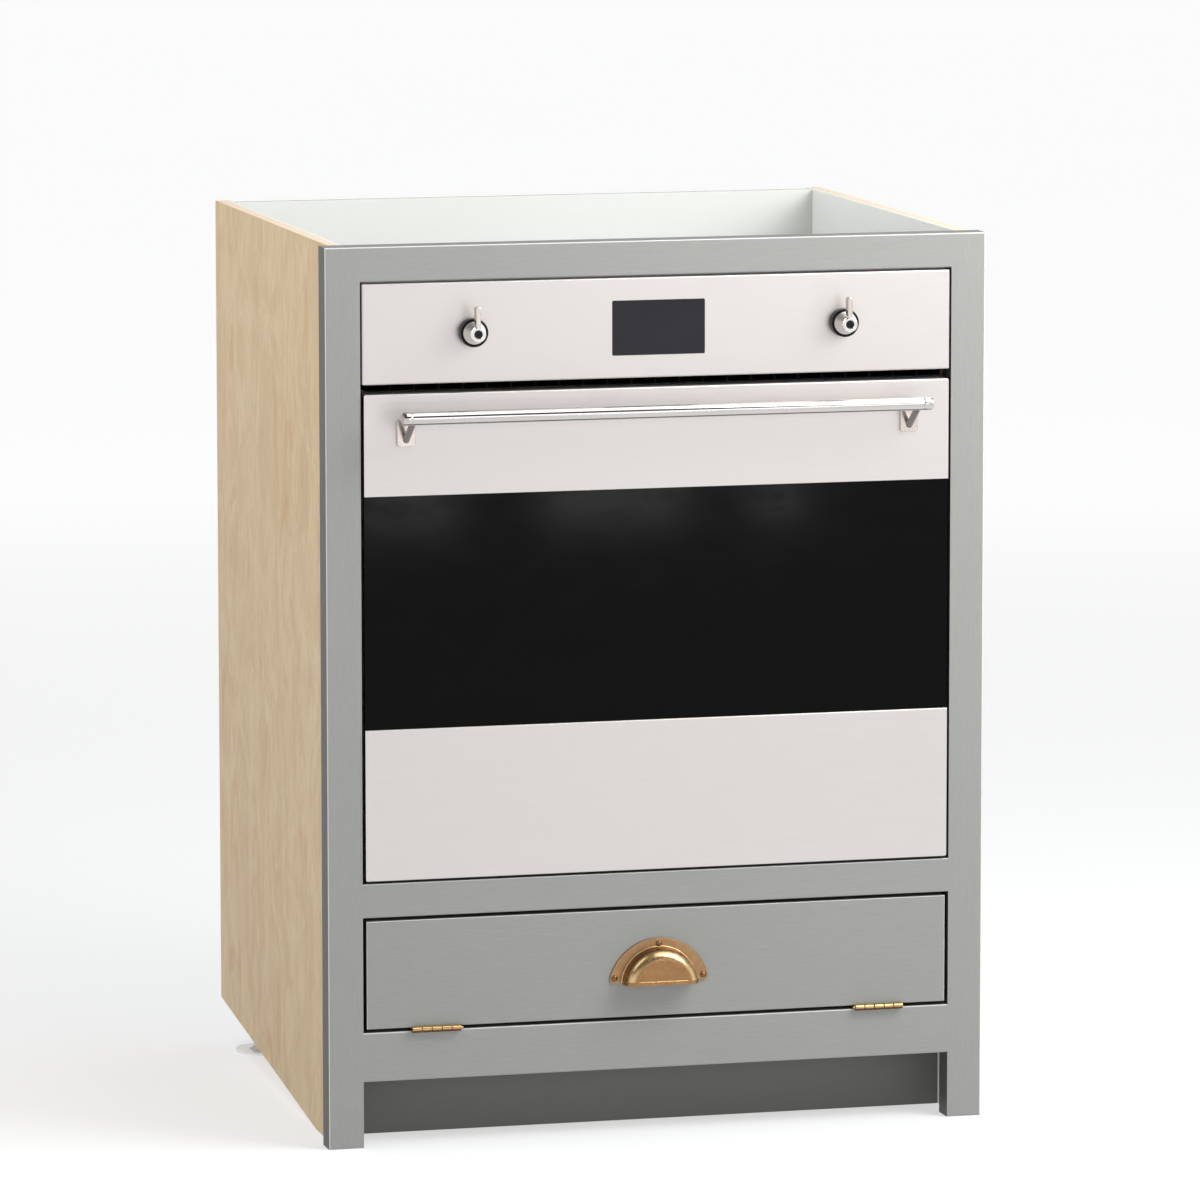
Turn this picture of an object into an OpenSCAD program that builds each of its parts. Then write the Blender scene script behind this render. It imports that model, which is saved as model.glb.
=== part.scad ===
// In-frame base cabinet for a built-in single oven, with a bottom-hinged flap
// below it. Millimetres, +Z up. X is centred, the front faces -Y, and the floor
// is z = 0. Places are written from the face frame's front plane (y = 0 going
// back) and at_front() moves them so that the whole object is centred on Y.

/* [Face frame] */
// Width of the opening between the stiles
opening_w = 600; // [560:1:640]
// Width of each stile
stile_w = 35; // [28:1:50]
// Thickness of the frame, front to back
frame_t = 27; // [20:0.5:34]
// Height of the top rail
top_rail_h = 34; // [25:1:60]
// Height of the middle rail
middle_rail_h = 34; // [28:1:60]
// Height of the bottom rail
bottom_rail_h = 49; // [30:1:80]
// Clear height under the bottom rail
leg_h = 66; // [50:1:120]
// Radius of the eased arrises of the painted wood
arris_r = 1.6; // [0.5:0.1:3]

/* [Carcass] */
// Depth from the frame's front to the rear ends of the sides
carcass_d = 560; // [545:1:640]
// Thickness of the side, base and shelf boards
board_t = 15; // [12:0.5:19]
// How far each side sits inboard of the frame's outer edge
side_inset = 9; // [4:0.5:12]
// Thickness of the back panel
back_t = 6; // [3:0.5:10]
// Service void behind the back panel
back_void = 21; // [10:1:30]
// Length of each side's foot on the floor, behind the frame
toe_l = 73; // [60:1:120]
// Height of each side's lower edge at the rear
rear_rise = 50; // [30:1:60]
// Air gap between the shelf's rear edge and the back panel
shelf_air = 50; // [30:1:80]
// How far the plinth stands back from the frame's front
plinth_set_back = 68.5; // [45:0.5:80]
// Side of the square battens under the shelf
shelf_batten = 18; // [14:1:22]
// Front to back depth of the upright battens behind the oven flange
fixing_batten_d = 24; // [20:1:40]
// Width of the upright battens
fixing_batten_w = 28; // [25:0.5:30]

/* [Levelling feet] */
// Distance from the carcass rear to the foot's centre
foot_from_rear = 51; // [45:1:70]
// Distance from the side's inner face to the foot's centre
foot_from_side = 18; // [17:0.5:29]
// Diameter of the foot's pad
foot_d = 56; // [44:1:60]
// Diameter of the threaded stud
stud_d = 12; // [8:1:16]

/* [Flap] */
// Gap all round the flap
flap_gap = 3.5; // [3:0.1:5]
// Height of the flap
flap_h = 107.5; // [100:0.5:150]
// Thickness of the flap
flap_t = 22; // [16:0.5:22]
// Length of each butt hinge
hinge_l = 50; // [40:1:65]
// Diameter of the hinge barrel
barrel_d = 6; // [5:0.1:7]
// Distance from the flap's end to the hinge
hinge_inset = 46; // [30:1:80]
// Width of the hinge leaf under the flap
leaf_w = 19; // [12:0.5:20]

/* [Cup pull] */
// Diameter of the back plate's half round
pull_d = 104; // [96:1:120]
// Height of the back plate
pull_h = 44.5; // [42:0.5:47]
// Distance from the flap's top edge to the back plate
pull_drop = 29; // [15:1:45]
// Radius of the cup where it meets the plate
cup_r = 37.5; // [32:0.5:40]
// How far the cup stands out
cup_out = 22; // [18:0.5:28]
// Radius of the cup's rounded shoulder
cup_shoulder = 11; // [6:0.5:14]
// Wall of the cup and thickness of its plate
cup_wall = 1.8; // [1.2:0.1:2.5]

/* [Oven front] */
// Height of the control panel
fascia_h = 99; // [92:1:110]
// Height of the cooling slot above the door
vent_gap = 9; // [8:0.5:14]
// Height of the door's upper steel band
upper_band_h = 100; // [80:1:130]
// Height of the black glass that shows
glass_h = 230; // [180:1:260]
// Height of the door's lower steel band
lower_band_h = 150; // [120:1:180]
// Gap between the middle rail and the door
door_drop_gap = 2.5; // [2.5:0.1:5]
// Gap on each side of the door
door_side_gap = 3; // [2:0.1:5]
// Gap around the control panel
fascia_gap = 1.5; // [1:0.1:3]
// How far the door's face stands proud of the frame
door_proud = 2; // [1.9:0.1:2.2]
// Thickness of the door
door_t = 38; // [34:0.5:42]
// Radius of the corners of the steel front
front_corner_r = 2.5; // [1:0.1:5]

/* [Door hinge] */
// Height of the hinge pin above the door's lower edge
pivot_up = 20; // [18.5:0.5:24]
// Distance of the hinge pin behind the door's face
pivot_back = 9.5; // [9.4:0.1:9.8]
// Distance from the door's side edge to each hinge arm
arm_inset = 27; // [26:0.1:28.6]
// Diameter of the hinge pin
pivot_pin_d = 4; // [3:0.1:4.4]

/* [Door handle] */
// Diameter of the handle bar
bar_d = 13; // [10:0.5:16]
// Length of the handle over its end caps
bar_l = 536; // [480:1:560]
// Distance from the door's face to the bar's axis
bar_out = 39.5; // [32:0.5:50]
// Distance from the door's top edge to the bar's axis
bar_drop = 20; // [15:0.5:30]
// Distance from the bar's end to the bracket's middle
bracket_inset = 12.5; // [10:0.5:60]
// Width of the bracket plate
bracket_w = 18; // [14:1:24]
// Height of the bracket plate
bracket_h = 26; // [22:1:34]
// Diameter of the bracket's rod
strut_d = 6.6; // [5:0.1:8]
// Length of each end cap
cap_l = 8.5; // [5:0.5:12]

/* [Controls] */
// Distance from the control panel's end to each knob
knob_from_end = 110.5; // [80:0.5:150]
// Diameter of the black collar
collar_d = 28; // [24:0.5:36]
// How far the collar stands out
collar_out = 10; // [6:0.5:12]
// How far the knob stands out
knob_out = 27; // [22:0.5:34]
// Diameter of the knob's front face
knob_face_d = 14.7; // [10:0.1:20]
// Length of the knob's lever from the knob's axis
lever_l = 27; // [20:0.5:36]
// Width of the lever
lever_w = 4.8; // [3.5:0.1:7]
// Width of the display window
display_w = 94; // [70:1:120]
// Height of the display window
display_h = 54; // [40:1:62]

/* [Oven body] */
// Gap between the oven case and the opening on each side
case_clear = 22; // [20:0.5:30]
// Gap between the oven case and the back panel
case_air = 18.5; // [16:0.5:40]
// Distance from the control panel's top edge down to the case
case_drop = 44; // [42:0.5:60]
// Height of the cooling duct above the case
duct_h = 24; // [14:1:24]
// Depth of the cooling duct
duct_d = 210; // [120:1:260]
// Thickness of the case sheets
sheet_t = 1.2; // [0.8:0.1:1.2]
// Distance from the case's side to the cavity
cavity_wall = 48; // [42:1:60]
// Distance from the case's top to the cavity's roof
cavity_roof = 120; // [90:1:140]
// Height of the cavity floor above the shelf
cavity_up = 66.5; // [62:0.5:70]
// Depth behind the cavity for the fan motor
motor_space = 75; // [66:1:90]
// Radius of the cavity's corners
cavity_r = 18; // [8:1:24]
// Thickness of the insulation
wool_t = 30; // [20:1:30]
// Thickness of the enamelled liner
liner_t = 1.5; // [1:0.1:2]

/* [Oven fittings] */
// Radius of the fan impeller
fan_r = 72; // [50:1:76]
// Number of fan blades
fan_blades = 12; // [8:1:16]
// Number of shelf levels
shelf_levels = 5; // [3:1:6]
// Level that holds the wire rack, from the bottom
rack_level = 3; // [1:1:3]
// Number of bars in the wire rack
rack_bars = 15; // [9:2:19]
// Diameter of the heating elements
element_d = 6.4; // [5:0.1:8]

/* [Hidden] */
$fn = 64;

// Clearances
run_gap = 0.3;      // between faces that move past each other
pin_gap = 0.05;     // radial, between a pin and its bore
fit_gap = 0.1;      // radial, between a fixed piece and its hole
wool_joint = 0.25;  // between two slabs of insulation
cut = 1;            // how far a cutting tool reaches past a face

// Heights of the front, from the floor up
base_top = leg_h + bottom_rail_h;
base_under = base_top - board_t;
flap_z = base_top + flap_gap;
flap_top = flap_z + flap_h;
middle_rail_z = flap_top + flap_gap;
shelf_top = middle_rail_z + middle_rail_h;
shelf_under = shelf_top - board_t;
door_z = shelf_top + door_drop_gap;
lower_band_top = door_z + lower_band_h;
glass_top = lower_band_top + glass_h;
door_top = glass_top + upper_band_h;
fascia_z = door_top + vent_gap;
fascia_top = fascia_z + fascia_h;
opening_top = fascia_top + fascia_gap + 0.5;
frame_h = opening_top + top_rail_h;

// Widths, from the middle outwards
opening_x = opening_w / 2;
frame_x = opening_x + stile_w;
side_x = frame_x - side_inset;
inner_x = side_x - board_t;
flap_x = opening_x - flap_gap;
door_x = opening_x - door_side_gap;
fascia_x = opening_x - fascia_gap;
case_x = opening_x - case_clear;
batten_x = inner_x - fixing_batten_w;
arm_x = door_x - arm_inset;

// Depths, from the frame's front backwards
back_y = carcass_d - back_void - back_t;
shelf_rear = back_y - shelf_air;
door_y = -door_proud;
door_rear = door_y + door_t;
flange_y = door_rear + 2;
flange_t = 1.5;
case_y = flange_y + flange_t;
case_rear = back_y - case_air;
cavity_rear = case_rear - motor_space;

// The whole object: the handle is its foremost point
bar_y = door_y - bar_out;
bar_z = door_top - bar_drop;
front_reach = -bar_y + bar_d / 2;
front_y = front_reach - (front_reach + carcass_d) / 2;

// Flap hinge
barrel_r = barrel_d / 2;
hinge_pin_r = barrel_r / 2;
knuckles = 5;
knuckle_pitch = hinge_l / knuckles;
knuckle_gap = 0.3;
leaf_gap = 0.5;
leaf_t = (flap_gap - leaf_gap) / 2;
hinge_y = -barrel_r - run_gap;
hinge_z = base_top + flap_gap / 2;
hinge_x = flap_x - hinge_inset - hinge_l / 2;
frame_knuckles = [0, 2, 4];
flap_knuckles = [1, 3];

// Cup pull and its screws
pull_top = flap_top - pull_drop;
pull_z = pull_top - pull_h;
pull_r = pull_d / 2;
pull_corner = 5;
cup_lip = 3.6;
cup_sink = 2.5;     // how far the cup's centre lies below the plate's foot
cup_lip_out = 0.6;
screw_head_r = 3.3;
screw_shank_r = 1.3;
screw_l = 14;
pull_screw_x = pull_r - 6.5;
pull_screw_drop = 5.8;
pull_screws_xz = [
    [0, pull_top - pull_screw_drop],
    [-pull_screw_x, pull_z + 5.5],
    [pull_screw_x, pull_z + 5.5]];

// Magnetic catch
catch_w = 44;
strike_w = 30;
strike_t = 2;
catch_z = flap_top - 18;

// Levelling feet
foot_x = inner_x - foot_from_side;
foot_y = carcass_d - foot_from_rear;
foot_pad_t = 3.5;
foot_cone_t = 3;
column_r = stud_d / 2 + 9;
column_z = 30;
socket_plate = 60;
socket_plate_t = 6;

// Oven door
steel_t = 1.5;
glass_t = 4;
steel_arris = 1.8;
glass_y = door_y + steel_t;
pan_y = glass_y + glass_t;
pan_x = door_x - 3;
pan_z = door_z + 1;
pan_top = door_top - 2;
pan_chamfer_y = 7;
pan_chamfer_z = 12;
band_arris = 1.4;
band_lip = 18;
window_r = 10;
inner_glass_t = 3.5;
inner_glass_edge = 10;
air_slots = 10;
air_slot_l = 40;
air_slot_gap = 10;
air_slot_w = 4;

// Door hinge
pivot_y = door_y + pivot_back;
pivot_z = door_z + pivot_up;
arm_t = 5;
arm_eye_r = 3.6;
cheek_t = 1.5;
notch_top = pivot_z + arm_eye_r + 2.4;
channel_top = notch_top + 38;
hinge_box_l = 80;
hinge_box_h = 22;
hinge_box_w = 11;

// Handle
bar_wall = 1.5;
bracket_t = 3;
bracket_x = bar_l / 2 - bracket_inset;
bracket_top = bar_z - bar_d / 2 + 1;
bracket_foot_z = bracket_top - bracket_h + 6.5;
bracket_corner = 3;

// Controls
knob_x = fascia_x - knob_from_end;
knob_z = (fascia_z + fascia_top) / 2;
knob_skirt_r = collar_d / 2 - 1.7;
shaft_r = 3;
shaft_l = 13;
tray_y = 20;
display_r = 1.5;
display_t = 3;
switch_size = 38;
switch_neck_r = 8;
grille_y = 12;
grille_lift = 1.5;
grille_slots = 24;

// Oven body
case_w = 2 * case_x;
case_top = fascia_top - case_drop;
cavity_x = case_x - cavity_wall;
cavity_z = shelf_top + cavity_up;
cavity_top = case_top - cavity_roof;
cavity_mid_z = (cavity_z + cavity_top) / 2;
window_x = cavity_x - 25;
window_z = [cavity_z + 20, cavity_top - 20];
flange_top = case_top + duct_h;
flange_r = 4;
liner_x = cavity_x + liner_t;
seal_w = 10;
seal_inset = 2;
louvre_pitch = 50;
louvre_l = 36;
louvre_w = 5;
inlet_x = 0.38 * case_w;
inlet_z = shelf_top + 46;
inlet_w = 48;
inlet_h = 36;
inlet_d = 10;
gland_r = 4.8;
gland_bore_r = 3.4;
flange_screw_x = door_x - 7;
flange_screw_z = [cavity_z - 10, cavity_top + 30];
flange_screw_r = 2;
flange_screw_l = 17;

// Fittings in the cavity
fan_z = cavity_mid_z;
cover_y = cavity_rear - 36;
cover_x = cavity_x - 90;
cover_z = [cavity_z + 40, cavity_top - 40];
cover_t = 1.2;
cover_hole_r = 4.5;
cover_ring_pitch = 14;
fan_depth = 18;
fan_y = cover_y + 7;
motor_r = 38;
motor_l = 48;
wool_hole_r = motor_r + 2;
ring_r = fan_r + 16;
element_r = element_d / 2;
runner_r = 2.5;
rack_r = 3;
rack_wire_r = 1.8;
runner_margin = 60;
runner_pitch = (cavity_top - cavity_z - 2 * runner_margin) / (shelf_levels - 1);
runner_z0 = cavity_z + runner_margin;
runner_x = cavity_x - runner_r;
runner_step = 4.5;
rack_shift = 1.5;
rack_x = runner_x - runner_step - rack_shift;
rack_rise = sqrt(pow(runner_r + rack_r, 2) - pow(rack_shift, 2)) + 0.05;
rack_z = runner_z0 + (rack_level - 1) * runner_pitch + rack_rise;
rack_front = case_y + 24;
rack_rear = cover_y - 12;
rack_stop_h = 20;
rack_stop_inset = 30;
ladder_y = [case_y + 50, cover_y - 54];

// ---------- shared shapes ----------

// Moves a piece from frame-front places to the centred object
module at_front() {
    translate([0, front_y, 0]) children();
}

// The piece and its mirror image on the other side
module both_sides() {
    children();
    mirror([1, 0, 0]) children();
}

// A block between two values on each axis
module block(x, y, z) {
    translate([x[0], y[0], z[0]])
        cube([x[1] - x[0], y[1] - y[0], z[1] - z[0]]);
}

// An outline drawn as (y, z), run along X
module along_x(x) {
    translate([x[0], 0, 0]) rotate([90, 0, 90])
        linear_extrude(x[1] - x[0]) children();
}

// An outline drawn as (x, z), run along Y
module along_y(y) {
    translate([0, y[1], 0]) rotate([90, 0, 0])
        linear_extrude(y[1] - y[0]) children();
}

// An outline drawn as (x, y), run along Z
module along_z(z) {
    translate([0, 0, z[0]]) linear_extrude(z[1] - z[0]) children();
}

// A flat rectangle
module rect(a, b) {
    translate([a[0], b[0]]) square([a[1] - a[0], b[1] - b[0]]);
}

// A flat rectangle with round corners
module round_rect(a, b, r) {
    rect([a[0] + r, a[1] - r], b);
    rect(a, [b[0] + r, b[1] - r]);
    for (x = [a[0] + r, a[1] - r], y = [b[0] + r, b[1] - r])
        translate([x, y]) circle(r);
}

// A rectangle drawn as (along, depth) whose two front corners are rounded
module eased_across(a, d, r) {
    rect(a, [d[0] + r, d[1]]);
    rect([a[0] + r, a[1] - r], [d[0], d[0] + 2 * r]);
    for (x = [a[0] + r, a[1] - r]) translate([x, d[0] + r]) circle(r);
}

// The same rectangle drawn as (depth, height)
module eased_up(d, b, r) {
    intersection() {
        rect(d, b);
        union() {
            rect([d[0] + r, d[1] + r], b);
            rect([d[0], d[0] + 2 * r], [b[0] + r, b[1] - r]);
            for (y = [b[0] + r, b[1] - r]) translate([d[0] + r, y]) circle(r);
        }
    }
}

// A board whose four front arrises are eased
module eased_board(x, y, z, r) {
    intersection() {
        along_x(x) eased_up(y, z, r);
        along_z(z) eased_across(x, y, r);
    }
}

// A round bar along X, Y or Z
module rod_x(x, y, z, r) {
    translate([x[0], y, z]) rotate([0, 90, 0]) cylinder(r = r, h = x[1] - x[0]);
}

module rod_y(x, y, z, r) {
    translate([x, y[1], z]) rotate([90, 0, 0]) cylinder(r = r, h = y[1] - y[0]);
}

module rod_z(x, y, z, r) {
    translate([x, y, z[0]]) cylinder(r = r, h = z[1] - z[0]);
}

// Turns a shape drawn upwards so that it stands out of the front at (x, z)
module out_at(x, y, z) {
    translate([x, y, z]) rotate([90, 0, 0]) children();
}

// ---------- carcass ----------

// Side panel: a short foot on the floor, then an edge that rises to the rear
module side_panel() {
    along_x([inner_x, side_x]) polygon([
        [frame_t, 0],
        [frame_t + toe_l, 0],
        [carcass_d, rear_rise],
        [carcass_d, frame_h],
        [frame_t, frame_h]]);
}

module side_panel_left() {
    color("burlywood") at_front() mirror([1, 0, 0]) side_panel();
}

module side_panel_right() {
    color("burlywood") at_front() side_panel();
}

module back_panel() {
    color("whitesmoke") at_front()
        block([-inner_x, inner_x], [back_y, back_y + back_t],
              [base_under, frame_h]);
}

module base_panel() {
    color("wheat") at_front()
        block([-inner_x, inner_x], [frame_t, back_y], [base_under, base_top]);
}

module oven_shelf() {
    color("wheat") at_front()
        block([-inner_x, inner_x], [frame_t, shelf_rear],
              [shelf_under, shelf_top]);
}

module shelf_battens() {
    color("tan") at_front() both_sides()
        block([inner_x - shelf_batten, inner_x],
              [frame_t + 33, shelf_rear - 3],
              [shelf_under - shelf_batten, shelf_under]);
}

// Upright battens that the oven flange screws into
module fixing_battens() {
    color("tan") at_front() both_sides() difference() {
        block([batten_x, inner_x], [case_y, case_y + fixing_batten_d],
              [shelf_top, opening_top - 6]);
        for (z = flange_screw_z)
            rod_y(flange_screw_x, [case_y - cut, case_y + flange_screw_l + 2],
                  z, flange_screw_r + fit_gap);
    }
}

// ---------- face frame ----------

// Stile: eased along its outer edge and over its top and foot
module stile() {
    intersection() {
        along_x([opening_x, frame_x]) eased_up([0, frame_t], [0, frame_h], arris_r);
        along_z([0, frame_h]) union() {
            rect([opening_x, frame_x - arris_r], [0, frame_t]);
            rect([opening_x, frame_x], [arris_r, frame_t]);
            translate([frame_x - arris_r, arris_r]) circle(arris_r);
        }
    }
}

module stile_left() {
    color("darkgray") at_front() mirror([1, 0, 0]) stile();
}

module stile_right() {
    color("darkgray") at_front() stile();
}

// Rail between the stiles, eased along its upper and lower front arris
module rail(z) {
    along_x([-opening_x, opening_x]) eased_up([0, frame_t], z, arris_r);
}

module top_rail() {
    color("darkgray") at_front() rail([opening_top, frame_h]);
}

module middle_rail() {
    color("darkgray") at_front() rail([middle_rail_z, shelf_top]);
}

module bottom_rail() {
    color("darkgray") at_front() rail([leg_h, base_top]);
}

module plinth() {
    color("dimgray") at_front()
        block([-inner_x, inner_x], [plinth_set_back, plinth_set_back + board_t],
              [0, base_under]);
}

// ---------- levelling feet ----------

// Socket plate under the base with a column bored for the foot's stud
module leg_columns() {
    color("black") at_front() both_sides() difference() {
        union() {
            block([inner_x - socket_plate, inner_x],
                  [foot_y - socket_plate / 2, foot_y + socket_plate / 2 - 10],
                  [base_under - socket_plate_t, base_under]);
            rod_z(foot_x, foot_y, [column_z, base_under - 1], column_r);
            translate([foot_x, foot_y, base_under - socket_plate_t - 6])
                cylinder(r1 = column_r, r2 = column_r + 2.5, h = 7);
        }
        rod_z(foot_x, foot_y, [column_z - cut, base_under - 12],
              stud_d / 2 + pin_gap);
    }
}

// Pad, cone, spanner flats and threaded stud
module foot() {
    translate([foot_x, foot_y, 0]) {
        cylinder(d1 = foot_d - 2, d2 = foot_d, h = 1.5);
        translate([0, 0, 1.5]) cylinder(d = foot_d, h = foot_pad_t - 1.5);
        translate([0, 0, foot_pad_t])
            cylinder(d1 = foot_d / 2, d2 = stud_d + 8, h = foot_cone_t);
        translate([0, 0, foot_pad_t])
            cylinder(d = stud_d + 6, h = foot_cone_t + 5, $fn = 6);
        cylinder(d = stud_d, h = base_under - 30);
    }
}

module foot_left() {
    color("lightgray") at_front() mirror([1, 0, 0]) foot();
}

module foot_right() {
    color("lightgray") at_front() foot();
}

// ---------- flap, hinges and catch ----------

module flap_panel() {
    color("darkgray") at_front() difference() {
        eased_board([-flap_x, flap_x], [0, flap_t], [flap_z, flap_top], 1);
        for (p = pull_screws_xz)
            rod_y(p[0], [-cut, screw_l - cup_wall + 1], p[1],
                  screw_shank_r + fit_gap);
    }
}

// Barrel pieces at the given places along the hinge
module knuckle_row(places, r, grow) {
    for (i = places)
        rod_x([i * knuckle_pitch - hinge_l / 2 - grow,
               (i + 1) * knuckle_pitch - hinge_l / 2 + grow], 0, 0, r);
}

// One leaf: its knuckles and a plate let in beside the gap
module hinge_leaf(places, others, z) {
    difference() {
        union() {
            knuckle_row(places, barrel_r, -knuckle_gap / 2);
            block([-hinge_l / 2, hinge_l / 2], [0, leaf_w - hinge_y],
                  [z, z + leaf_t]);
        }
        knuckle_row(others, barrel_r + run_gap, knuckle_gap / 2);
        rod_x([-hinge_l, hinge_l], 0, 0, hinge_pin_r + pin_gap);
        for (x = [-1, 1], y = [0, 1])
            rod_z((0.34 - 0.16 * y) * hinge_l * x, -hinge_y + 6 + 7 * y,
                  [z - cut, z + leaf_t + cut], 1.6);
    }
}

module at_hinges() {
    for (x = [-hinge_x, hinge_x]) translate([x, hinge_y, hinge_z]) children();
}

module frame_hinge_leaves() {
    color("goldenrod") at_front() at_hinges()
        hinge_leaf(frame_knuckles, flap_knuckles, -flap_gap / 2);
}

module flap_hinge_leaves() {
    color("goldenrod") at_front() at_hinges()
        hinge_leaf(flap_knuckles, frame_knuckles, flap_gap / 2 - leaf_t);
}

module hinge_pins() {
    color("goldenrod") at_front() at_hinges() {
        rod_x([-hinge_l / 2 + 0.6, hinge_l / 2 - 0.6], 0, 0, hinge_pin_r);
        for (s = [-1, 1]) intersection() {
            translate([s * (hinge_l / 2 - 0.6), 0, 0]) sphere(hinge_pin_r);
            rod_x([-hinge_l, hinge_l], 0, 0, hinge_pin_r);
        }
    }
}

// Catch body under the shelf, its magnet nose reaching to the strike
module magnetic_catch() {
    color("ivory") at_front() {
        block([-catch_w / 2, catch_w / 2], [frame_t + run_gap, frame_t + 15],
              [catch_z, shelf_under]);
        block([6 - catch_w / 2, catch_w / 2 - 6],
              [flap_t + strike_t + run_gap, frame_t + 1],
              [catch_z + 2, flap_top - 2]);
    }
}

module catch_strike() {
    color("silver") at_front()
        along_y([flap_t, flap_t + strike_t])
            round_rect([-strike_w / 2, strike_w / 2],
                       [catch_z, flap_top - 3], 3);
}

// ---------- cup pull ----------

// Half-round plate with rounded lower corners
module pull_plate_outline() {
    disc_z = pull_top - pull_r;
    corner_z = pull_z + pull_corner;
    corner_x = sqrt(pow(pull_r - pull_corner, 2) - pow(corner_z - disc_z, 2));
    lean = asin((corner_z - disc_z) / (pull_r - pull_corner));
    touch_x = pull_r * cos(lean);
    touch_z = disc_z + pull_r * sin(lean);
    intersection() {
        translate([0, disc_z]) circle(pull_r);
        rect([-pull_r, pull_r], [touch_z, pull_top]);
    }
    polygon([[-corner_x, pull_z], [corner_x, pull_z],
             [touch_x, touch_z], [-touch_x, touch_z]]);
    for (s = [-1, 1]) translate([s * corner_x, corner_z]) circle(pull_corner);
}

// Half section of the cup, drawn as (radius, distance out)
module cup_section(r, d, s) {
    rect([0, r], [0, d - s]);
    rect([0, r - s], [0, d]);
    intersection() {
        translate([r - s, d - s]) circle(s);
        rect([0, r], [d - s, d]);
    }
}

// The cup's wall between an outer and an inner section
module cup_wall_section(grow) {
    difference() {
        cup_section(cup_r + grow, cup_out + grow, cup_shoulder + grow);
        cup_section(cup_r - cup_wall, cup_out - cup_wall,
                    cup_shoulder - cup_wall);
    }
}

module cup_pull() {
    color("peru") at_front() {
        difference() {
            union() {
                along_y([-cup_wall, 0]) pull_plate_outline();
                intersection() {
                    out_at(0, 0, pull_z - cup_sink) rotate_extrude(angle = 180)
                        cup_wall_section(0);
                    block([-pull_r, pull_r], [-2 * cup_out, cut],
                          [pull_z, pull_top]);
                }
            }
            // the plate is open behind the cup
            along_y([-cup_wall - cut, cut]) intersection() {
                translate([0, pull_z - cup_sink]) circle(cup_r - cup_wall);
                rect([-cup_r, cup_r], [pull_z - cut, pull_z + cup_r]);
            }
            for (p = pull_screws_xz)
                rod_y(p[0], [-2 * cup_wall, cut], p[1],
                      screw_shank_r + fit_gap);
        }
        // rolled lip along the cup's lower edge
        along_z([pull_z, pull_z + cup_lip]) both_sides()
            mirror([0, 1, 0]) cup_wall_section(cup_lip_out);
    }
}

// Slotted round-head screws
module pull_screws() {
    color("peru") at_front()
        for (p = pull_screws_xz) out_at(p[0], -cup_wall, p[1]) {
            difference() {
                intersection() {
                    translate([0, 0, -1.4]) sphere(screw_head_r + 0.3);
                    cylinder(r = screw_head_r, h = screw_head_r);
                }
                rotate([0, 0, 35]) translate([-0.5, -screw_head_r, 1.2])
                    cube([1, 2 * screw_head_r, 3]);
            }
            translate([0, 0, -screw_l + cup_wall])
                cylinder(r = screw_shank_r, h = screw_l - cup_wall + 0.4);
        }
}

// ---------- oven case ----------

module oven_case_side() {
    block([case_x - sheet_t, case_x], [case_y, case_rear],
          [shelf_top, case_top]);
}

module oven_case_left() {
    color("silver") at_front() mirror([1, 0, 0]) oven_case_side();
}

module oven_case_right() {
    color("silver") at_front() oven_case_side();
}

// Top sheet, raised over the cooling duct at the front
module oven_case_top() {
    duct_rear = case_y + duct_d;
    color("silver") at_front() difference() {
        union() {
            block([-case_x, case_x], [case_y, duct_rear],
                  [case_top, case_top + duct_h]);
            block([-case_x, case_x], [duct_rear - sheet_t, case_rear],
                  [case_top, case_top + sheet_t]);
        }
        block([sheet_t - case_x, case_x - sheet_t],
              [case_y - cut, duct_rear - sheet_t],
              [case_top - cut, case_top + duct_h - sheet_t]);
        // louvres over the rear of the case
        for (i = [-4 : 4], k = [1 : 3])
            translate([i * louvre_pitch, duct_rear + k * louvre_l, case_top])
                cube([louvre_l, louvre_w, 3 * sheet_t], center = true);
    }
}

module oven_case_base() {
    color("silver") at_front()
        block([sheet_t - case_x, case_x - sheet_t], [case_y, case_rear],
              [shelf_top, shelf_top + sheet_t]);
}

module oven_case_back() {
    color("silver") at_front() difference() {
        block([sheet_t - case_x, case_x - sheet_t],
              [case_rear - sheet_t, case_rear],
              [shelf_top + sheet_t, case_top]);
        // cooling holes behind the fan motor and a row of slots above
        for (a = [0 : 30 : 330])
            rod_y(motor_r * cos(a), [case_rear - sheet_t - cut, case_rear + cut],
                  fan_z + motor_r * sin(a), louvre_w);
        for (i = [-4 : 4])
            translate([i * louvre_pitch, case_rear, case_top - 1.5 * louvre_l])
                cube([louvre_w, 3 * sheet_t, louvre_l], center = true);
    }
}

// Mains inlet with its cord gland, low on the rear
module mains_inlet() {
    gland_y = case_rear + inlet_d / 2;
    low = inlet_z - inlet_h / 2;
    color("black") at_front() difference() {
        union() {
            block([inlet_x - inlet_w / 2, inlet_x + inlet_w / 2],
                  [case_rear, case_rear + inlet_d], [low, low + inlet_h]);
            rod_z(inlet_x, gland_y, [low - 8, low + 1], gland_r);
        }
        rod_z(inlet_x, gland_y, [low - 8 - cut, low + 6], gland_bore_r);
    }
}

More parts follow.
